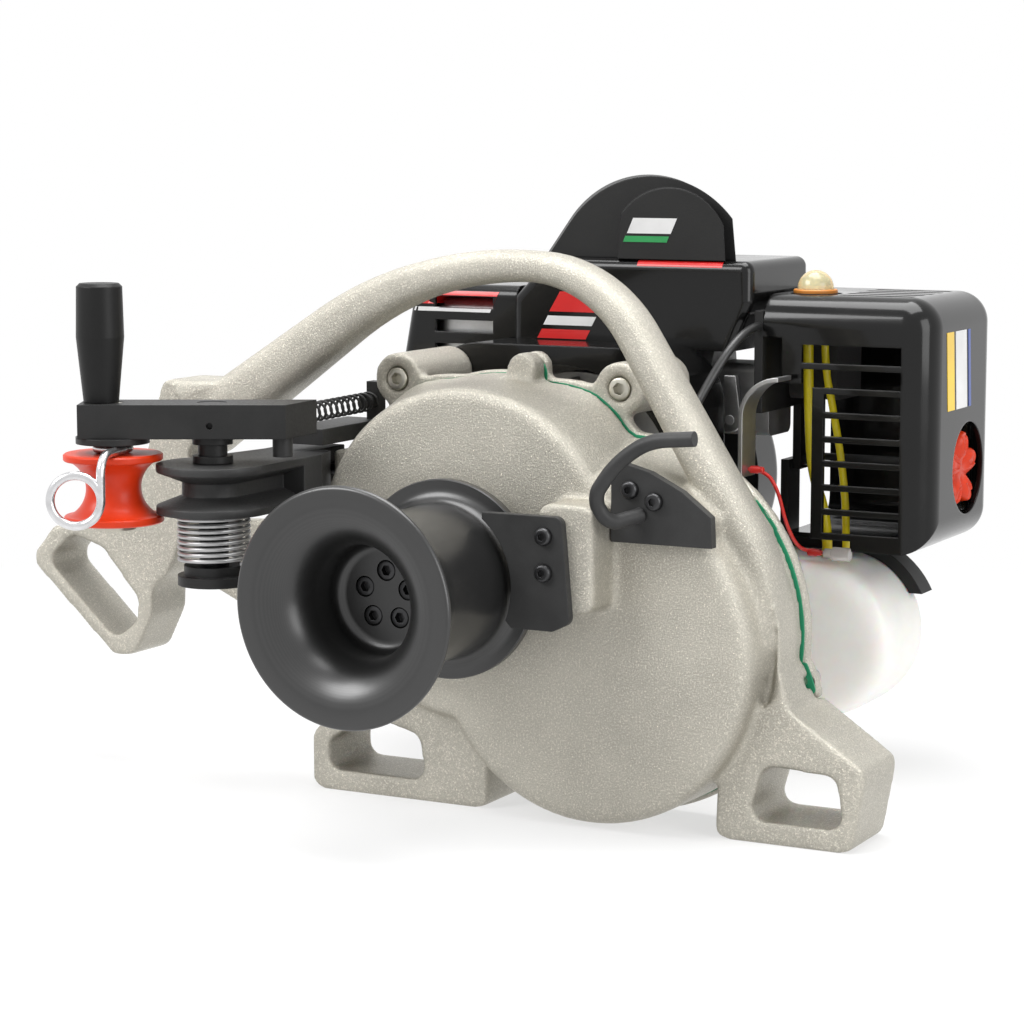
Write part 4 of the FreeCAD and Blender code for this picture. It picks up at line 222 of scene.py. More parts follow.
def scaled(tone, factor):
    """A colour made darker or lighter."""
    return tuple(factor * value for value in tone)


def cast_alloy():
    """Sand-cast aluminium with bright grains and dark pits."""
    paint = Paint("cast_alloy").set(Metallic=0.85, Specular_IOR_Level=0.4)
    grain = paint.noise(950.0, 4.0, 0.8)
    patches = paint.noise(16.0, 4.0, 0.6)
    pits = paint.cells(900.0)
    tone = paint.ramp(patches, warm(0.36), warm(0.45))
    tone = paint.mix(paint.span(grain, 0.0, 0.7, 0.52, 0.68), tone, warm(0.85))
    tone = paint.mix(paint.span(pits, 0.45, 0.0, 0.0, 0.32), tone, warm(0.20))
    paint.colour(tone).rough(paint.span(grain, 0.52, 0.24))
    return paint.relief([(grain, 0.9, 0.0008), (paint.noise(170.0), 0.25, 0.0008)])


def drum_alloy():
    """Dark anodised aluminium with faint turning marks."""
    paint = Paint("drum_alloy").set(Metallic=0.75, Coat_Weight=0.3, Coat_Roughness=0.3)
    turning = paint.bands(420.0, "Y", 0.6)
    patches = paint.noise(30.0, 4.0)
    marks = paint.span(turning, 0.0, 0.12, 0.0, 1.0)
    paint.colour(paint.mix(marks, grey(0.048), grey(0.09)))
    paint.rough(paint.span(patches, 0.28, 0.38))
    return paint.relief([(turning, 0.02, 0.0001), (paint.noise(900.0, 2.0), 0.05, 0.0002)])


def satin_metal(name, tone, rough, metallic, grain=700.0, shine=0.5):
    """Metal with a fine even grain and slightly rounded edges."""
    paint = Paint(name).set(Metallic=metallic, Specular_IOR_Level=shine)
    patches = paint.noise(40.0, 4.0)
    fine = paint.noise(grain)
    paint.colour(paint.mix(paint.span(patches, 0.0, 1.0), scaled(tone, 0.82), scaled(tone, 1.15)))
    paint.rough(paint.span(fine, rough - 0.06, rough + 0.06))
    return paint.relief([(fine, 0.12, 0.0002)], 0.0008)


def plated(name, tone, rough=0.3):
    """Plated steel with a cloudy shine."""
    paint = Paint(name).set(Metallic=0.95)
    patches = paint.noise(120.0, 4.0)
    paint.colour(paint.mix(paint.span(patches, 0.0, 1.0), scaled(tone, 0.8), tone))
    paint.rough(paint.span(patches, rough + 0.1, rough - 0.05))
    return paint.relief([(paint.noise(1500.0, 2.0), 0.06, 0.0001)], 0.0004)


def moulded(name, tone, rough, grain=900.0, bump=0.08, edge=0.001, coat=0.0, shine=0.5):
    """Opaque plastic or rubber with a moulded grain."""
    paint = Paint(name).set(Coat_Weight=coat, Coat_Roughness=0.06, Specular_IOR_Level=shine)
    patches = paint.noise(25.0, 4.0)
    fine = paint.noise(grain)
    paint.colour(paint.mix(paint.span(patches, 0.0, 1.0), scaled(tone, 0.85), scaled(tone, 1.12)))
    paint.rough(paint.span(patches, rough - 0.04, rough + 0.06))
    return paint.relief([(fine, bump, 0.0002)], edge)


def printed(name, tone):
    """A smooth printed film."""
    return moulded(name, tone, 0.3, 1500.0, 0.03, 0.0, 0.2)


def clear_plastic(name, tone, rough, see_through, scatter=0.0):
    """Plastic that lets light through."""
    paint = Paint(name).set(Transmission_Weight=see_through, IOR=1.45)
    paint.set(Subsurface_Weight=scatter, Subsurface_Scale=0.01)
    patches = paint.noise(35.0)
    paint.colour(paint.mix(paint.span(patches, 0.0, 1.0), scaled(tone, 0.93), tone))
    paint.rough(paint.span(patches, rough, rough + 0.08))
    return paint.relief([(paint.noise(220.0, 2.0), 0.05, 0.0004)])


LOOKS = {
    "cast_alloy": cast_alloy(),
    "drum_alloy": drum_alloy(),
    "black_alloy": satin_metal("black_alloy", grey(0.026), 0.46, 0.3, shine=0.25),
    "black_steel": satin_metal("black_steel", grey(0.042), 0.5, 0.3, shine=0.28),
    "steel": satin_metal("steel", grey(0.5), 0.34, 0.95),
    "spring_steel": satin_metal("spring_steel", grey(0.42), 0.36, 0.9),
    "engine_alloy": satin_metal("engine_alloy", grey(0.33), 0.5, 0.8, 420.0),
    "zinc": plated("zinc", (0.55, 0.53, 0.46)),
    "dark_bolt": plated("dark_bolt", (0.06, 0.06, 0.062), 0.36),
    "chrome": plated("chrome", (0.72, 0.72, 0.73), 0.18),
    "red_plastic": moulded("red_plastic", (0.64, 0.038, 0.006), 0.38, coat=0.06, shine=0.28),
    "grip_rubber": moulded("grip_rubber", grey(0.008), 0.42, 1300.0, 0.12, shine=0.22),
    "gloss_black": moulded("gloss_black", grey(0.004), 0.16, 700.0, 0.02, 0.0015, 0.25, 0.2),
    "matt_grey": moulded("matt_grey", grey(0.014), 0.5, 1100.0, 0.25, shine=0.25),
    "primer_seat": moulded("primer_seat", (0.55, 0.20, 0.03), 0.4, 1200.0, 0.1, 0.0004),
    "gasket": moulded("gasket", (0.012, 0.27, 0.13), 0.6, 1500.0, 0.2, 0.0002),
    "black_hose": moulded("black_hose", grey(0.015), 0.35, 1200.0, 0.06, 0.0005),
    "red_wire": moulded("red_wire", (0.62, 0.02, 0.015), 0.35, 1500.0, 0.05, 0.0003),
    "foam": moulded("foam", grey(0.035), 0.9, 420.0, 0.9),
    "sticker_red": printed("sticker_red", (0.60, 0.012, 0.012)),
    "sticker_white": printed("sticker_white", grey(0.72)),
    "sticker_green": printed("sticker_green", (0.012, 0.28, 0.07)),
    "sticker_yellow": printed("sticker_yellow", (0.86, 0.56, 0.01)),
    "sticker_blue": printed("sticker_blue", (0.03, 0.07, 0.32)),
    "tank_plastic": clear_plastic("tank_plastic", (0.97, 0.955, 0.91), 0.32, 0.03, 0.5),
    "primer_rubber": clear_plastic("primer_rubber", (0.95, 0.88, 0.56), 0.08, 0.6),
    "yellow_hose": clear_plastic("yellow_hose", (0.95, 0.79, 0.02), 0.15, 0.15),
    "clear_sleeve": clear_plastic("clear_sleeve", (0.9, 0.86, 0.84), 0.2, 0.5),
}
# Nodes that look other than their slot in the record
OTHER_LOOKS = {
    "pivot_collars": "black_alloy",
    "spring_cup": "black_alloy",
    "roller_washer": "black_alloy",
    "pivot_shaft": "black_alloy",
    "stop_pin": "black_steel",
    "throttle_strap": "steel",
    "fan_housing": "gloss_black",
}


def dress(item, look):
    """Gives a piece one look."""
    item.data.materials.clear()
    item.data.materials.append(LOOKS[look])


for entry in frame["record"]["subparts"]:
    dress(nodes[entry["node"]], OTHER_LOOKS.get(entry["node"], entry["material_slot"]))


# Making meshes
def add_piece(name, data, look, body, *stand_for):
    """Puts a mesh or curve into the scene on a body, in place of the CAD nodes named."""
    item = bpy.data.objects.new(name, data)
    scene.collection.objects.link(item)
    dress(item, look)
    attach(item, body)
    if stand_for:
        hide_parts(*stand_for)
    return item


def finish_mesh(name, shape, sharp=38.0):
    """Turns a bmesh into a mesh with smooth faces and sharp edges over the angle."""
    bmesh.ops.recalc_face_normals(shape, faces=shape.faces)
    mesh = bpy.data.meshes.new(name)
    shape.to_mesh(mesh)
    shape.free()
    mesh.shade_smooth()
    mesh.set_sharp_from_angle(angle=math.radians(sharp))
    return mesh


def toward(place, direction, across=None):
    """A matrix that puts +Z along the direction at the place."""
    along = Vector(direction).normalized()
    side = Vector(across) if across else along.orthogonal()
    side = (side - along * side.dot(along)).normalized()
    turn = Matrix((side, along.cross(side), along)).transposed().to_4x4()
    return Matrix.Translation(place) @ turn


def full_turn(count):
    """Angles evenly spaced round a circle."""
    return [2 * math.pi * index / count for index in range(count)]


def ring_of(shape, matrix, radius, height, count):
    """A loop of vertices round the matrix's Z axis."""
    spots = [(radius * math.cos(turn), radius * math.sin(turn), height) for turn in full_turn(count)]
    return [shape.verts.new(matrix @ (Vector(spot) * MM)) for spot in spots]


def lathe(shape, profile, matrix, segments):
    """Turns a profile of radius and height about the matrix's Z axis."""
    rings = [ring_of(shape, matrix, radius, height, segments if radius else 1) for radius, height in profile]
    for low, high in zip(rings, rings[1:]):
        for index in range(segments):
            after = (index + 1) % segments
            corners = [low[index % len(low)], low[after % len(low)]]
            corners += [high[after % len(high)], high[index % len(high)]]
            shape.faces.new(list(dict.fromkeys(corners)))
    return rings


def arc(middle, radius, start, end, steps=10):
    """Points on an arc, angles in degrees."""
    turns = [math.radians(start + (end - start) * step / steps) for step in range(steps + 1)]
    return [(middle[0] + radius * math.cos(turn), middle[1] + radius * math.sin(turn)) for turn in turns]


def loop_edges(shape, loop):
    """The edges round a closed loop of vertices."""
    pairs = zip(loop, loop[1:] + loop[:1])
    return [shape.edges.get(pair) or shape.edges.new(pair) for pair in pairs]


def wall(shape, first, second):
    """A band of faces between two loops of as many vertices."""
    for index in range(len(first)):
        after = (index + 1) % len(first)
        shape.faces.new((first[index], first[after], second[after], second[index]))


def skin(shape, rings):
    """A closed skin over a row of loops."""
    for before, after in zip(rings, rings[1:]):
        wall(shape, before, after)
    shape.faces.new(rings[0])
    shape.faces.new(rings[-1])


def join_doubles(shape):
    """Closes a turned ring where its profile ends where it began."""
    bmesh.ops.remove_doubles(shape, verts=shape.verts, dist=0.000001)


def cap_screw(shape, matrix, size, dome=False):
    """A socket screw with its seat at the origin of the matrix and its head along the Z axis."""
    head, height, shank, length, key = size
    profile = [(0, -length), (shank, -length), (shank, 0), (head, 0)]
    if dome:
        crown = key * 1.45
        brim_share = 0.15
        for across, up in arc((0, 0), 1.0, 0, 90, 7):
            profile.append((crown + (head - crown) * across, height * (brim_share + (1 - brim_share) * up)))
    else:
        edge = height * 0.12
        profile += [(head, height - edge), (head - edge * 0.4, height - edge * 0.3), (head - edge, height)]
    top = lathe(shape, profile, matrix, 40)[-1]
    mouth = ring_of(shape, matrix, key, height, 6)
    floor = ring_of(shape, matrix, key, height * 0.35, 6)
    edges = loop_edges(shape, top) + loop_edges(shape, mouth)
    bmesh.ops.triangle_fill(shape, use_beauty=True, edges=edges)
    wall(shape, mouth, floor)
    shape.faces.new(floor)


def tube(shape, points, radius):
    """A round tube along close points, with its ends closed."""
    ways = [(after - before).normalized() for before, after in zip(points, points[1:])]
    ways.append(ways[-1])
    side = ways[0].orthogonal().normalized()
    rings = []
    for point, way in zip(points, ways):
        side = (side - way * side.dot(way)).normalized()
        other = way.cross(side)
        outs = [side * math.cos(turn) + other * math.sin(turn) for turn in full_turn(10)]
        rings.append([shape.verts.new(point + out * radius) for out in outs])
    skin(shape, rings)


def coil(start, along, across, radius, rise, turns, tail):
    """Points of a helix with a short straight tail at both ends."""
    along = along.normalized()
    across = across.normalized()
    side = along.cross(across)
    count = int(turns * 26)
    points = []
    for index in range(count + 1):
        turn = 2 * math.pi * turns * index / count
        out = across * math.cos(turn) + side * math.sin(turn)
        points.append(start + out * radius + along * (rise * index / count))
    first = (points[0] - points[1]).normalized()
    last = (points[-1] - points[-2]).normalized()
    return [points[0] + first * tail] + points + [points[-1] + last * tail]


def bevelled(node, look, body, width):
    """The CAD node's form with its sharp edges broken."""
    item = add_piece(node + "_edged", nodes[node].data.copy(), look, body, node)
    weld = item.modifiers.new("weld", "WELD")
    weld.merge_threshold = 0.00002
    edge = item.modifiers.new("edge", "BEVEL")
    edge.width = width * MM
    edge.segments = 2
    edge.limit_method = "ANGLE"
    edge.angle_limit = math.radians(35)
    edge.harden_normals = True
    return item


def drilled(item, shape):
    """Takes a shape out of a piece for good."""
    cutter = bpy.data.objects.new("cutter", finish_mesh("cutter", shape))
    scene.collection.objects.link(cutter)
    cut = item.modifiers.new("cut", "BOOLEAN")
    cut.object = cutter
    done = bpy.data.meshes.new_from_object(item.evaluated_get(bpy.context.evaluated_depsgraph_get()))
    item.modifiers.clear()
    item.data = done
    bpy.data.objects.remove(cutter)


def copied(node, name, look):
    """A loose copy of a CAD node with its seams closed."""
    shape = bmesh.new()
    shape.from_mesh(nodes[node].data)
    bmesh.ops.remove_doubles(shape, verts=shape.verts, dist=0.00001)
    mesh = bpy.data.meshes.new(name)
    shape.to_mesh(mesh)
    shape.free()
    return add_piece(name, mesh, look, "frame", node)


def reshaped(item, change):
    """Moves each point of a piece as the change says."""
    for vert in item.data.vertices:
        vert.co = change(vert.co)


def soften(item, voxel, rounds):
    """Draws a fine skin over a piece and eases its corners."""
    cover = item.modifiers.new("skin", "REMESH")
    cover.mode = "VOXEL"
    cover.voxel_size = voxel * MM
    cover.use_smooth_shade = True
    ease = item.modifiers.new("ease", "SMOOTH")
    ease.factor = 0.5
    ease.iterations = rounds


# The upper flange is drawn in outside the wall, and less so near the arm, the lower lobe and the columns
WALL_RADIUS = 91.0
FLANGE_EDGE = 106.5
DRAW_SHARE = 0.58
DRAW_LAST_TURN = 300.0
FADE_ARM_TURNS = (195.0, 212.0)
FADE_LOWER = (104.0, 110.0)
FADE_COLUMN = (14.0, 42.0)
FADE_OUTSIDE = (122.0, 140.0)
# The lower lobe's right flank is held to a reach, which grows toward the foot
FLANK_TURNS = (-18.0, 62.0)
FOOT_TURNS = (6.0, 18.0)
FOOT_RISE = 14.0
FRONT_FLANK = 104.0
GASKET_FLANK = 104.4
REAR_FLANK = 105.6
SCREW_FLANK = 98.0
# The flat pad on the anchor arm, where the arch begins
PAD_TOP = 98.0
PAD_RIGHT_X = -157.0
# The gasket's lip, drawn in to lie nearly flush
GASKET_LIP = 2.5
GASKET_SHARE = 0.75
GASKET_OTHER_LOBE = 103.0
# Arches: legs are (0, length), bends (radius, degrees), widths (count of legs, thickness, depth)
ARCH_Y = 28.0
THIN_START = (-190, 86)
THIN_SLOPE = 30.5
THIN_LEGS = [(0, 142), (165, 45), (63, 42), (0, 140)]
THIN_WIDTHS = [(0.2, 26, 42), (1, 22, 36), (4, 20, 34)]
STOUT_START = (-183.5, 68.7)
STOUT_SLOPE = 34.5
STOUT_LEGS = [(0, 111), (205, 37), (75, 56), (0, 125), (80, 50)]
STOUT_WIDTHS = [(0, 36, 38), (1, 28, 31), (1.5, 20.5, 27), (2, 17, 27), (3, 20.5, 27), (4, 24, 29),
                (5, 12, 27)]
CAST_VOXEL = 1.7
TANK_VOXEL = 2.6


def drawn_in(spot):
    """Where a point of the case's upper flange goes when the flange is drawn in."""
    x, y, z = measured(spot)
    flat = Vector((x, z))
    out = flat - UPPER_LOBE
    reach = out.length
    if reach < WALL_RADIUS:
        return spot
    turn = math.degrees(math.atan2(out.y, out.x)) % 360
    hold = 1 - between(turn, *FADE_ARM_TURNS)
    hold *= between((flat - LOWER_LOBE).length, *FADE_LOWER)
    for column in COLUMNS:
        hold *= between((flat - column).length, *FADE_COLUMN)
    if hold == 0 or turn > DRAW_LAST_TURN:
        return spot
    pull = (min(reach, FLANGE_EDGE) - WALL_RADIUS) * DRAW_SHARE
    pull *= (1 - between(reach, *FADE_OUTSIDE)) * hold
    out *= (reach - pull) / reach
    return at(out.x + UPPER_LOBE.x, y, out.y + UPPER_LOBE.y)


def tucked(spot, limit):
    """Where a point on the lower lobe's right flank goes when what stands proud of it is tucked in."""
    x, y, z = measured(spot)
    out = Vector((x, z)) - LOWER_LOBE
    turn = math.degrees(math.atan2(out.y, out.x))
    limit += FOOT_RISE * between(-turn, *FOOT_TURNS)
    if out.length <= limit or not FLANK_TURNS[0] < turn < FLANK_TURNS[1]:
        return spot
    out *= limit / out.length
    return at(out.x + LOWER_LOBE.x, y, out.y + LOWER_LOBE.y)


def front_outline(spot):
    """The front casting's outline: a plain flank, a flat pad on the arm and the flange drawn in."""
    spot = drawn_in(tucked(spot, FRONT_FLANK))
    x, y, z = measured(spot)
    return at(x, y, min(z, PAD_TOP)) if x < PAD_RIGHT_X else spot


def rear_outline(spot):
    """The rear casting's outline, which follows the front one's."""
    return drawn_in(tucked(spot, REAR_FLANK))


def trimmed_gasket(spot):
    """The gasket's edge nearly flush with the flange all round."""
    lobes = ((UPPER_LOBE, LOWER_LOBE, UPPER_FLANGE), (LOWER_LOBE, UPPER_LOBE, LOWER_FLANGE))
    for middle, other, radius in lobes:
        x, y, z = measured(spot)
        flat = Vector((x, z))
        out = flat - middle
        if out.length > radius and (flat - other).length > GASKET_OTHER_LOBE:
            out *= (out.length - min(out.length - radius, GASKET_LIP) * GASKET_SHARE) / out.length
            spot = at(out.x + middle.x, y, out.y + middle.y)
    return drawn_in(tucked(spot, GASKET_FLANK))


def arch_stations(start, slope, legs):
    """Marks, points and headings along an arch."""
    spot = Vector(start)
    heading = math.radians(slope)
    steps = 14
    stations = []
    for index, (radius, amount) in enumerate(legs):
        bend = math.radians(amount) if radius else 0.0
        middle = spot + Vector((math.sin(heading), -math.cos(heading))) * radius
        for step in range(steps + 1):
            share = step / steps
            turn = heading - bend * share
            if radius:
                place = middle + Vector((-math.sin(turn), math.cos(turn))) * radius
            else:
                place = spot + Vector((math.cos(heading), math.sin(heading))) * amount * share
            if step < steps or index == len(legs) - 1:
                stations.append((index + share, place, turn))
        heading = turn
        spot = place
    return stations


def sweep_arch(shape, stations, widths):
    """A bar with a rounded square section along the stations."""
    rings = []
    for mark, place, turn in stations:
        spans = [pair for pair in zip(widths, widths[1:]) if pair[0][0] <= mark <= pair[1][0]]
        if not spans:
            continue
        low, high = spans[0]
        share = (mark - low[0]) / (high[0] - low[0])
        thick, depth = (low[item] + (high[item] - low[item]) * share for item in (1, 2))
        ring = []
        for angle in full_turn(36):
            wide = math.cos(angle)
            tall = math.sin(angle)
            scale = (abs(wide) ** 3 + abs(tall) ** 3) ** (-1 / 3) / 2
            up = tall * scale * thick
            across = place.x - math.sin(turn) * up
            height = place.y + math.cos(turn) * up
            ring.append(shape.verts.new(at(across, ARCH_Y + wide * scale * depth, height)))
        rings.append(ring)
    skin(shape, rings)


def make_castings():
    """Both castings, with the stout carrying arch in place of the thin one, the gasket and the tank."""
    front = copied("front_case", "front_case_skin", "cast_alloy")
    thin = bmesh.new()
    sweep_arch(thin, arch_stations(THIN_START, THIN_SLOPE, THIN_LEGS), THIN_WIDTHS)
    drilled(front, thin)
    reshaped(front, front_outline)
    shape = bmesh.new()
    shape.from_mesh(front.data)
    sweep_arch(shape, arch_stations(STOUT_START, STOUT_SLOPE, STOUT_LEGS), STOUT_WIDTHS)
    bmesh.ops.recalc_face_normals(shape, faces=shape.faces)
    shape.to_mesh(front.data)
    shape.free()
    soften(front, CAST_VOXEL, 12)
    rear = copied("rear_case", "rear_case_skin", "cast_alloy")
    reshaped(rear, rear_outline)
    soften(rear, CAST_VOXEL, 8)
    reshaped(copied("case_gasket", "gasket_edge", "gasket"), trimmed_gasket)
    soften(copied("fuel_tank", "fuel_tank_skin", "tank_plastic"), TANK_VOXEL, 80)


# Drum, radii and heights along its axis
DRUM_BORE = 22.0
REAR_RIM = 54.6
REAR_BACK = 13.0
REAR_FRONT = 18.5
REAR_EDGE = 0.6
BARREL = 42.0
ROOT_ROUND = 8.0
FLARE_START = 80.0
FLARE_END = 122.0
FLARE_RIM = 61.8
LIP_TOP = 126.8
LIP_MIDDLE = 60.6
LIP_ROUND = 2.4
MOUTH_BORE = 30.0
MOUTH_ROUND = 27.0
DRUM_FLOOR = 80.0
FLOOR_ROUND = 6.5
DRUM_BOLT_COUNT = 5
BOLT_CIRCLE = 13.5
RECESS_RADIUS = 5.6
RECESS_FLOOR = 74.0
# Screws: head radius and height, shank radius and length, radius of the socket
DRUM_BOLT = (5.3, 6, 3, 16, 2.9)
CASE_SCREW = (5, 5, 2.7, 18, 2.6)
ENGINE_BOLT = (6.5, 8, 4, 78, 3.6)
PLATE_SCREW = (5, 3.5, 3, 17.7, 2.2)
GUIDE_SCREW = (5, 3.5, 3, 40, 2.2)
# Places of the screws
EAR_REACH = 5.0
UPPER_EARS = (80, 180, 228)
LOWER_EARS = (38, -13, -145)
LOW_BOLT_X = 38.0
LOW_BOLT_Y = 160.0
LOW_BOLT_DROP = 78.0
STRIPPER_X = 66.6
STRIPPER_Y = -30.0
STRIPPER_TOP = 46.0
STRIPPER_HEIGHT = 58.0
STRIPPER_SCREW_SHARES = (0.285, 0.62)
HOOK_REACH = 95.7
HOOK_Y = -6.0
HOOK_TURNS = (73, 64)
GUIDE_X = -133.0
GUIDE_SCREW_Y = (40, 30)
GUIDE_SCREW_Z = 49.7


def drum_profile():
    """The drum's section: rear flange, barrel, flare, lip, mouth and floor."""
    wide = FLARE_RIM - BARREL
    tall = FLARE_END - FLARE_START
    flare = (tall ** 2 + wide ** 2) / (2 * wide)
    turn = math.degrees(math.asin(tall / flare))
    root = BARREL + ROOT_ROUND
    profile = [(DRUM_BORE, REAR_BACK), (REAR_RIM - REAR_EDGE, REAR_BACK), (REAR_RIM, REAR_BACK + REAR_EDGE)]
    profile += [(REAR_RIM, REAR_FRONT - REAR_EDGE), (REAR_RIM - REAR_EDGE, REAR_FRONT), (root, REAR_FRONT)]
    profile += arc((root, REAR_FRONT + ROOT_ROUND), ROOT_ROUND, 270, 180)[1:]
    profile += arc((BARREL + flare, FLARE_START), flare, 180, 180 - turn, 20)
    profile += arc((LIP_MIDDLE, LIP_TOP - LIP_ROUND), LIP_ROUND, -30, 90, 8)
    profile += arc((MOUTH_BORE + MOUTH_ROUND, LIP_TOP - MOUTH_ROUND), MOUTH_ROUND, 90, 180, 24)
    profile += arc((MOUTH_BORE - FLOOR_ROUND, DRUM_FLOOR + FLOOR_ROUND), FLOOR_ROUND, 0, -90)
    return profile


def make_drum():
    """The flared drum, turned, with the bolts in the recesses of its floor."""
    shape = bmesh.new()
    bolts = bmesh.new()
    rings = lathe(shape, drum_profile(), toward(at(0, 0, 0), FORWARD, RIGHT), 160)
    shape.faces.new(rings[0])
    edges = loop_edges(shape, rings[-1])
    for spin in full_turn(DRUM_BOLT_COUNT):
        turn = math.pi / 2 + spin
        spot = toward(around((0, 0), BOLT_CIRCLE, turn, 0), FORWARD, RIGHT)
        mouth = ring_of(shape, spot, RECESS_RADIUS, DRUM_FLOOR, 32)
        floor = ring_of(shape, spot, RECESS_RADIUS, RECESS_FLOOR, 32)
        edges += loop_edges(shape, mouth)
        wall(shape, mouth, floor)
        shape.faces.new(floor)
        seat = around((0, 0), BOLT_CIRCLE, turn, -RECESS_FLOOR)
        cap_screw(bolts, toward(seat, FORWARD, RIGHT), DRUM_BOLT)
    bmesh.ops.triangle_fill(shape, use_beauty=True, edges=edges)
    add_piece("drum_turned", finish_mesh("drum_turned", shape, 30.0), "drum_alloy", "drum_body", "drum")
    add_piece("drum_screws", finish_mesh("drum_screws", bolts), "dark_bolt", "drum_body", "drum_bolts")


def make_screws():
    """Flange screws, engine bolts and the button-head screws of the plates."""
    flange = bmesh.new()
    lobes = ((UPPER_FLANGE, UPPER_LOBE, UPPER_EARS), (LOWER_FLANGE, LOWER_LOBE, LOWER_EARS))
    for radius, lobe, ears in lobes:
        for turn in ears:
            seat = around(lobe, radius + EAR_REACH, math.radians(turn), FLANGE_BACK)
            cap_screw(flange, toward(drawn_in(tucked(seat, SCREW_FLANK)), BACKWARD), CASE_SCREW)
    add_piece("flange_screws", finish_mesh("flange_screws", flange), "zinc", "frame", "case_screws")
    engine = bmesh.new()
    for column in COLUMNS:
        cap_screw(engine, toward(at(column.x, FLANGE_BACK, column.y), FORWARD), ENGINE_BOLT)
    for x in (-LOW_BOLT_X, LOW_BOLT_X):
        cap_screw(engine, toward(at(x, LOW_BOLT_Y, ENGINE_Z - LOW_BOLT_DROP), BACKWARD), ENGINE_BOLT)
    add_piece("engine_screws", finish_mesh("engine_screws", engine), "zinc", "frame", "engine_bolts")
    buttons = bmesh.new()
    for share in STRIPPER_SCREW_SHARES:
        seat = at(STRIPPER_X, STRIPPER_Y, STRIPPER_TOP - STRIPPER_HEIGHT * share)
        cap_screw(buttons, toward(seat, FORWARD), PLATE_SCREW, True)
    for turn in HOOK_TURNS:
        seat = around((LAY_X, LAY_Z), HOOK_REACH, math.radians(turn), HOOK_Y)
        cap_screw(buttons, toward(seat, FORWARD), PLATE_SCREW, True)
    for y in GUIDE_SCREW_Y:
        cap_screw(buttons, toward(at(GUIDE_X, y, GUIDE_SCREW_Z), LEFT), GUIDE_SCREW, True)
    add_piece("plate_screws", finish_mesh("plate_screws", buttons), "dark_bolt", "frame", "button_screws")


# Torsion spring round the pivot
TWIST_LOW = 7.35
TWIST_RADIUS = 19.0
TWIST_RISE = 25.5
TWIST_TURNS = 8
TWIST_TAIL = 2.5
TWIST_WIRE = 1.25
# Return spring, from a place along and across the lever to the bracket
PULL_Z = 85.25
PULL_ALONG = 41.0
PULL_ACROSS = 16.0
PULL_FAR_X = -96.0
PULL_FAR_Y = 70.0
PULL_GAP = 4.2
PULL_RADIUS = 5.0
PULL_TURNS = 13
PULL_TAIL = 1.6
PULL_WIRE = 0.8
# Rope roller
ROLLER_REACH = 54.2
ROLLER_LOW = 29.0
ROLLER_HEIGHT = 38.0
ROLLER_RIM = 27.0
ROLLER_WAIST = 15.0
ROLLER_BORE = 6.05
ROLLER_CHAMFER = (1.0, 0.8)
ROLLER_EDGE = 0.6
TREAD_DEPTH = 9.3
TREAD_HALF = 15.0


def make_springs():
    """The torsion spring round the pivot and the return spring behind the lever."""
    twist = bmesh.new()
    start = at(PIVOT_X, PIVOT_Y, TWIST_LOW)
    sizes = (TWIST_RADIUS * MM, TWIST_RISE * MM, TWIST_TURNS, TWIST_TAIL * MM)
    tube(twist, coil(start, Vector(UP), Vector(RIGHT), *sizes), TWIST_WIRE * MM)
    add_piece("twist_coil", finish_mesh("twist_coil", twist, 60.0), "spring_steel", "frame", "torsion_spring")
    way = Vector((math.cos(LEVER_LEAN), math.sin(LEVER_LEAN), 0))
    side = Vector((-way.y, way.x, 0))
    near = at(PIVOT_X, PIVOT_Y, PULL_Z) + (way * PULL_ALONG + side * PULL_ACROSS) * MM
    far = at(PULL_FAR_X, PULL_FAR_Y, PULL_Z)
    along = (far - near).normalized()
    gap = PULL_GAP * MM
    run = (far - near).length - 2 * gap
    pull = bmesh.new()
    sizes = (PULL_RADIUS * MM, run, PULL_TURNS, PULL_TAIL * MM)
    tube(pull, coil(near + along * gap, along, along.cross(Vector(UP)), *sizes), PULL_WIRE * MM)
    item = bpy.data.objects.new("pull_coil", finish_mesh("pull_coil", pull, 60.0))
    scene.collection.objects.link(item)
    dress(item, "black_steel")
    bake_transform(item)
    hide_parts("return_spring")


def make_roller():
    """The red rope roller with its hollow tread."""
    shape = bmesh.new()
    x = PIVOT_X - ROLLER_REACH * math.cos(LEVER_LEAN)
    y = PIVOT_Y - ROLLER_REACH * math.sin(LEVER_LEAN)
    tread = (TREAD_HALF ** 2 + TREAD_DEPTH ** 2) / (2 * TREAD_DEPTH)
    turn = math.degrees(math.asin(TREAD_HALF / tread))
    side = ROLLER_HEIGHT / 2 - TREAD_HALF
    rim = [(ROLLER_RIM - ROLLER_CHAMFER[0], 0), (ROLLER_RIM, ROLLER_CHAMFER[1])]
    rim += [(ROLLER_RIM, side - ROLLER_EDGE), (ROLLER_RIM - ROLLER_EDGE, side)]
    rim.append((ROLLER_WAIST + TREAD_DEPTH, side))
    hollow = arc((ROLLER_WAIST + tread, ROLLER_HEIGHT / 2), tread, 180 + turn, 180 - turn, 24)
    profile = [(ROLLER_BORE, 0)] + rim + hollow[1:-1]
    profile += [(radius, ROLLER_HEIGHT - height) for radius, height in reversed(rim)]
    profile += [(ROLLER_BORE, ROLLER_HEIGHT), (ROLLER_BORE, 0)]
    lathe(shape, profile, Matrix.Translation(at(x, y, ROLLER_LOW)), 96)
    join_doubles(shape)
    mesh = finish_mesh("roller_tread", shape, 30.0)
    add_piece("roller_tread", mesh, "red_plastic", "roller_body", "roller")


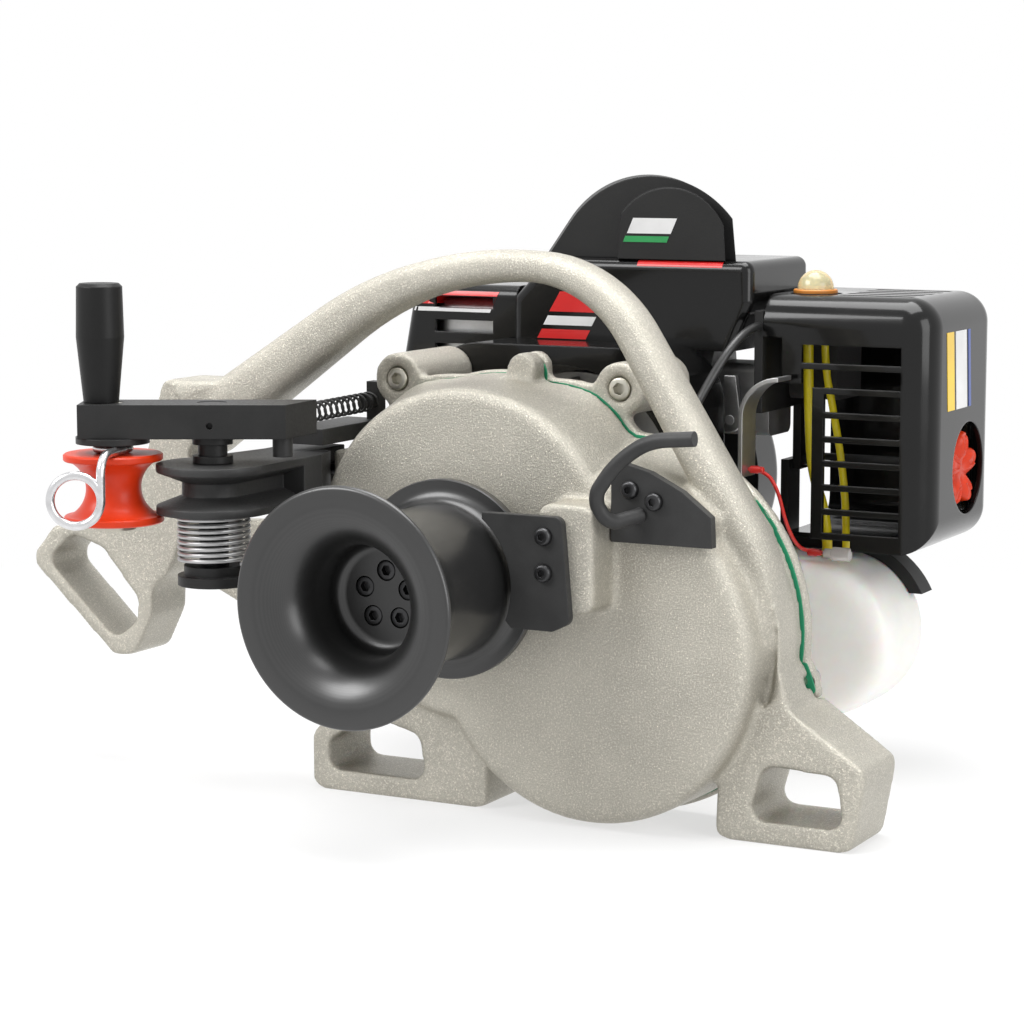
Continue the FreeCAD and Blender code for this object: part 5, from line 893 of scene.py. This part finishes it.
# Routes of the hoses and the wire
FUEL_ROUTE = [(140, 190, -5.7), (140, 190, 16), (129, 191, 44), (126, 194, 76), (124, 196, 104),
              (124, 196, 133.2)]
RETURN_ROUTE = [(150, 194, -5.7), (150, 194, 18), (146, 196, 48), (140, 197, 78), (134, 196, 106),
                (134, 196, 133.2)]
THROTTLE_ROUTE = [(105.5, 165, 129), (105.5, 140, 129), (90, 112, 88.3), (92, 86, 66.3), (92, 61, 66.3)]
STOP_ROUTE = [(106.5, 150, 48), (117, 150, 48), (124, 152, 37), (125, 161, 18), (127, 170, 5),
              (131, 177, -1.7), (143, 177, -1.7)]
FUEL_RADIUS = 3.0
RETURN_RADIUS = 2.2
THROTTLE_RADIUS = 2.5
WIRE_RADIUS = 1.1
# The wire's connector and crimps, radii and heights along them
SLEEVE = [(0, 0), (2.2, 0), (2.8, 0.8), (2.8, 5), (3.9, 5.6), (4, 6.5), (4, 15.2), (3.4, 16), (0, 16)]
CRIMP = [(0, 0), (1.6, 0), (2, 0.3), (2.2, 1), (2.2, 5), (1.8, 6), (1.8, 8), (1.4, 8.4), (0, 8.4)]
CRIMP_PLACES = ((107.5, 150, 48), (133, 177, -1.7))


def hose(name, points, radius, look, *stand_for):
    """A hose along the route's points."""
    curve = bpy.data.curves.new(name, "CURVE")
    curve.dimensions = "3D"
    curve.bevel_depth = radius * MM
    curve.bevel_resolution = 6
    curve.resolution_u = 20
    curve.use_fill_caps = True
    spline = curve.splines.new("NURBS")
    spline.points.add(len(points) - 1)
    for spot, point in zip(spline.points, points):
        spot.co = (*at(*point), 1.0)
    spline.order_u = 3
    spline.use_endpoint_u = True
    add_piece(name, curve, look, "frame", *stand_for)


def make_hoses():
    """The two fuel lines, the throttle hose and the stop wire with its connector."""
    hose("fuel_line", FUEL_ROUTE, FUEL_RADIUS, "yellow_hose", "fuel_lines")
    hose("return_line", RETURN_ROUTE, RETURN_RADIUS, "yellow_hose")
    hose("throttle_cable", THROTTLE_ROUTE, THROTTLE_RADIUS, "black_hose", "throttle_hose")
    hose("stop_lead", STOP_ROUTE, WIRE_RADIUS, "red_wire", "stop_wire")
    sleeve = bmesh.new()
    lathe(sleeve, SLEEVE, toward(at(*STOP_ROUTE[-1]), RIGHT), 32)
    add_piece("wire_sleeve", finish_mesh("wire_sleeve", sleeve), "clear_sleeve", "frame")
    crimps = bmesh.new()
    for place in CRIMP_PLACES:
        lathe(crimps, CRIMP, toward(at(*place), RIGHT), 24)
    add_piece("wire_crimps", finish_mesh("wire_crimps", crimps), "red_wire", "frame")


# Filter knob: shares of its reach with shares of its depth, from the rim to the hub
KNOB_REACH = 23.0
KNOB_ARMS = 5
KNOB_SECTION_SHARES = [(1.0, 0.0), (1.0, 0.55), (0.985, 0.72), (0.95, 0.85), (0.9, 0.93), (0.8, 0.98),
                       (0.66, 1.0), (0.52, 0.97), (0.42, 0.9), (0.34, 0.8), (0.26, 0.74), (0.14, 0.72)]
KNOB_VALLEY_SHARE = 0.66
KNOB_ARM_POWER = 0.7
KNOB_DIP_SHARE = 0.35
KNOB_DIP_SPAN_SHARES = (0.2, 0.5)
KNOB_GROOVE_SHARE = 0.14
KNOB_GROOVE_ARM_SHARE = 0.82
KNOB_GROOVE_SPAN_SHARES = (0.45, 0.93)


def make_knob():
    """The filter knob with a dished hub and a shallow groove on each arm."""
    low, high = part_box("filter_knob")
    middle = (Vector(low) + Vector(high)) / 2
    base = Vector((low[0], middle.y, middle.z))
    depth = high[0] - low[0]
    shape = bmesh.new()
    rings = []
    for share, rise in KNOB_SECTION_SHARES:
        ring = []
        grooved = KNOB_GROOVE_SPAN_SHARES[0] < share < KNOB_GROOVE_SPAN_SHARES[1]
        for turn in full_turn(120):
            arm = (0.5 + 0.5 * math.cos(KNOB_ARMS * (turn - math.pi / 2))) ** KNOB_ARM_POWER
            out = KNOB_REACH * MM * (KNOB_VALLEY_SHARE + (1 - KNOB_VALLEY_SHARE) * arm) * share
            height = depth * rise * (1 - KNOB_DIP_SHARE * (1 - arm) * between(share, *KNOB_DIP_SPAN_SHARES))
            if grooved and arm > KNOB_GROOVE_ARM_SHARE:
                height *= 1 - KNOB_GROOVE_SHARE
            ring.append(shape.verts.new(base + Vector((height, out * math.cos(turn), out * math.sin(turn)))))
        rings.append(ring)
    skin(shape, rings)
    add_piece("star_knob", finish_mesh("star_knob", shape, 50.0), "red_plastic", "knob_body", "filter_knob")


# Stripes: name, look, node, face, ends of the upper edge, upper and lower height, set of the lower edge
STRIPES = (
    ("stripe_shroud_red", "sticker_red", "cylinder_shroud", "front", -20, 12, 146, 134, 7),
    ("stripe_shroud_white", "sticker_white", "cylinder_shroud", "front", -28, 4, 131.5, 126, 3),
    ("stripe_shroud_low", "sticker_red", "cylinder_shroud", "front", -32, 0, 123.5, 118, 3),
    ("stripe_guard_red", "sticker_red", "muffler_guard", "front", -118, -64, 144, 136, 4),
    ("stripe_guard_white", "sticker_white", "muffler_guard", "front", -122, -69, 134, 131.5, 1),
    ("stripe_hump_white", "sticker_white", "top_cover", "front", 27, 55, 190, 181, 4),
    ("stripe_hump_green", "sticker_green", "top_cover", "front", 22, 50, 179.5, 176, 1.5),
    ("stripe_top", "sticker_red", "cylinder_shroud", "top", 30, 84, 163.5, 160.9, 0),
    ("stripe_cover_yellow", "sticker_yellow", "filter_cover", "right", 190, 202, 127, 82, -4),
    ("stripe_cover_white", "sticker_white", "filter_cover", "right", 205, 224, 127, 82, -4),
    ("stripe_cover_blue", "sticker_blue", "filter_cover", "right", 227, 231, 127, 82, -4),
)
# The way a stripe is laid down on a face, and a place clear of that face
STRIPE_WAYS = {"front": BACKWARD, "top": DOWN, "right": LEFT}
STRIPE_FRONT_Y = 80.0
STRIPE_TOP_Z = 240.0
STRIPE_RIGHT_X = 280.0
STRIPE_PROUD = 0.25
STRIPE_SUNK = 0.4
STRIPE_COLUMNS = 12
STRIPE_ROWS = 6


def stripe_start(face, across, up):
    """A place clear of a face, over the point across and up on it."""
    if face == "front":
        return at(across, STRIPE_FRONT_Y, up)
    if face == "top":
        return at(across, up, STRIPE_TOP_Z)
    return at(STRIPE_RIGHT_X, across, up)


def sticker(name, look, node, way, corners):
    """A thin patch between four corners, pressed onto a CAD node along a way."""
    body = bmesh.new()
    body.from_mesh(nodes[node].data)
    tree = BVHTree.FromBMesh(body)
    body.free()
    first, second, third, fourth = corners
    shape = bmesh.new()
    outer = []
    inner = []
    for row in range(STRIPE_ROWS + 1):
        left = first.lerp(fourth, row / STRIPE_ROWS)
        right = second.lerp(third, row / STRIPE_ROWS)
        for column in range(STRIPE_COLUMNS + 1):
            spot = tree.ray_cast(left.lerp(right, column / STRIPE_COLUMNS), way)[0]
            outer.append(shape.verts.new(spot - way * STRIPE_PROUD * MM))
            inner.append(shape.verts.new(spot + way * STRIPE_SUNK * MM))
    across = STRIPE_COLUMNS + 1
    for sheet in (outer, inner):
        for row in range(STRIPE_ROWS):
            for column in range(STRIPE_COLUMNS):
                corner = row * across + column
                shape.faces.new([sheet[corner + step] for step in (0, 1, across + 1, across)])
    rim = list(range(across))
    rim += [row * across + STRIPE_COLUMNS for row in range(1, STRIPE_ROWS + 1)]
    rim += [STRIPE_ROWS * across + column for column in range(STRIPE_COLUMNS - 1, -1, -1)]
    rim += [row * across for row in range(STRIPE_ROWS - 1, 0, -1)]
    wall(shape, [outer[index] for index in rim], [inner[index] for index in rim])
    add_piece(name, finish_mesh(name, shape), look, "frame")


def make_stickers():
    """Plain coloured stripes on the engine's covers."""
    for name, look, node, face, left, right, top, low, lean in STRIPES:
        edges = ((left, top), (right, top), (right - lean, low), (left - lean, low))
        corners = [stripe_start(face, across, up) for across, up in edges]
        sticker(name, look, node, Vector(STRIPE_WAYS[face]), corners)


# The primer's seat ring, radii and heights
SEAT = [(10.9, 0), (12.6, 0), (12.8, 0.4), (12.8, 2), (12.3, 2.6), (11.4, 2.6), (10.9, 2.1), (10.9, 0)]
SEAT_Z = 146.9
# The hole in the front of the lever bar
PIN_HOLE_RADIUS = 1.8
PIN_HOLE_START = 12.0
PIN_HOLE_LENGTH = 8.0
PIN_HOLE_Z = 83.0


def make_primer_seat():
    """The ring the primer dome sits in."""
    low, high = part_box("primer_bulb")
    place = (Vector(low) + Vector(high)) / 2
    ring = bmesh.new()
    lathe(ring, SEAT, Matrix.Translation((place.x, place.y, at(0, 0, SEAT_Z).z)), 64)
    join_doubles(ring)
    add_piece("primer_seat", finish_mesh("primer_seat", ring), "primer_seat", "frame")


def make_edges():
    """Boxy pieces with broken edges, and the hole in the lever bar."""
    bar = bevelled("lever_bar", "black_alloy", "lever_body", 0.7)
    bar.modifiers["edge"].harden_normals = False
    front = Vector((math.sin(LEVER_LEAN), -math.cos(LEVER_LEAN), 0))
    start = at(PIVOT_X, PIVOT_Y, PIN_HOLE_Z) + front * PIN_HOLE_START * MM
    profile = [(0, 0), (PIN_HOLE_RADIUS, 0), (PIN_HOLE_RADIUS, PIN_HOLE_LENGTH), (0, PIN_HOLE_LENGTH)]
    hole = bmesh.new()
    lathe(hole, profile, toward(start, front), 28)
    drilled(bar, hole)
    bar.data.shade_flat()
    bevelled("stripper_plate", "black_steel", "frame", 0.6)
    bevelled("spring_bracket", "black_steel", "frame", 0.5)
    bevelled("guide_block", "black_steel", "frame", 0.6)


make_castings()
make_drum()
make_screws()
make_springs()
make_roller()
make_hoses()
make_knob()
make_edges()
make_stickers()
make_primer_seat()

# Camera, floor and light, in metres where nothing else is said
CAMERA_AZIMUTH = math.radians(27.68)
CAMERA_ELEVATION = math.radians(7.755)
CAMERA_TARGET = at(32.04, 0, 36.59)
CAMERA_DISTANCE = 1.5102
CAMERA_LENS = 98.44
CAMERA_SENSOR = 36.0
WHITE = (1, 1, 1, 1)
FLOOR_HALF = 9.0
FLOOR_PLAIN_SPAN = (0.3, 0.9)
FLOOR_PLAIN_SHARES = (0.62, 1.0)
WORLD_LIGHT = 0.34
LAMP_TARGET = Vector((0.03, 0, 0.15))
# Lamps: name, place, width and height, watts
LAMPS = (
    ("key", (-1.1, -1.3, 1.5), (1.2, 0.9), 33.0),
    ("right", (1.8, -0.5, 0.7), (0.9, 1.3), 15.0),
    ("top", (0.1, 0.1, 1.9), (1.6, 1.2), 44.0),
)


def aimed(item, way):
    """Turns a camera or lamp to look along a way."""
    item.rotation_euler = way.to_track_quat("-Z", "Y").to_euler()
    scene.collection.objects.link(item)


def set_camera():
    """The photograph's view, solved from the picture."""
    flat = math.cos(CAMERA_ELEVATION)
    side = math.sin(CAMERA_AZIMUTH) * flat
    front = -math.cos(CAMERA_AZIMUTH) * flat
    back = Vector((side, front, math.sin(CAMERA_ELEVATION)))
    camera = bpy.data.cameras.new("camera")
    camera.lens = CAMERA_LENS
    camera.sensor_width = CAMERA_SENSOR
    camera.clip_start = 0.05
    item = bpy.data.objects.new("camera", camera)
    item.location = CAMERA_TARGET + back * CAMERA_DISTANCE
    aimed(item, -back)
    scene.camera = item


def set_floor():
    """A wide white floor: it takes the object's shadow nearby and is plain white further out."""
    mesh = bpy.data.meshes.new("floor")
    corners = [(-FLOOR_HALF, -FLOOR_HALF, 0), (FLOOR_HALF, -FLOOR_HALF, 0), (FLOOR_HALF, FLOOR_HALF, 0),
               (-FLOOR_HALF, FLOOR_HALF, 0)]
    mesh.from_pydata(corners, [], [(0, 1, 2, 3)])
    floor = bpy.data.objects.new("floor", mesh)
    scene.collection.objects.link(floor)
    paint = Paint("floor").set(Roughness=0.9)
    paint.colour(paint.ramp(paint.noise(3.0, 2.0), grey(0.9), grey(0.92)))
    tree = paint.tree
    length = tree.nodes.new("ShaderNodeVectorMath")
    length.operation = "LENGTH"
    paint.link(paint.place, length.inputs[0])
    glow = tree.nodes.new("ShaderNodeEmission")
    glow.inputs["Color"].default_value = WHITE
    glow.inputs["Strength"].default_value = 1.0
    mixer = tree.nodes.new("ShaderNodeMixShader")
    plain = paint.span(length.outputs["Value"], *FLOOR_PLAIN_SHARES, *FLOOR_PLAIN_SPAN)
    paint.link(plain, mixer.inputs["Fac"])
    paint.link(paint.shader.outputs["BSDF"], mixer.inputs[1])
    paint.link(glow.outputs["Emission"], mixer.inputs[2])
    paint.link(mixer.outputs["Shader"], tree.nodes["Material Output"].inputs["Surface"])
    mesh.materials.append(paint.material)


def set_world():
    """White to the camera, in mirrors and through glass, softer as light."""
    world = bpy.data.worlds.new("studio")
    scene.world = world
    world.use_nodes = True
    tree = world.node_tree
    plain = tree.nodes["Background"]
    seen = tree.nodes.new("ShaderNodeBackground")
    for node, strength in ((plain, WORLD_LIGHT), (seen, 1.0)):
        node.inputs["Color"].default_value = WHITE
        node.inputs["Strength"].default_value = strength
    path = tree.nodes.new("ShaderNodeLightPath")
    mixer = tree.nodes.new("ShaderNodeMixShader")
    kinds = path.outputs["Is Camera Ray"]
    for kind in ("Is Glossy Ray", "Is Transmission Ray"):
        either = tree.nodes.new("ShaderNodeMath")
        either.operation = "MAXIMUM"
        tree.links.new(kinds, either.inputs[0])
        tree.links.new(path.outputs[kind], either.inputs[1])
        kinds = either.outputs["Value"]
    tree.links.new(kinds, mixer.inputs["Fac"])
    tree.links.new(plain.outputs["Background"], mixer.inputs[1])
    tree.links.new(seen.outputs["Background"], mixer.inputs[2])
    tree.links.new(mixer.outputs["Shader"], tree.nodes["World Output"].inputs["Surface"])


def set_lamps():
    """Soft rectangular lamps aimed at the object."""
    for name, place, size, power in LAMPS:
        lamp = bpy.data.lights.new(name, "AREA")
        lamp.shape = "RECTANGLE"
        lamp.size = size[0]
        lamp.size_y = size[1]
        lamp.energy = power
        item = bpy.data.objects.new(name, lamp)
        item.location = place
        aimed(item, LAMP_TARGET - Vector(place))


set_camera()
set_floor()
set_world()
set_lamps()
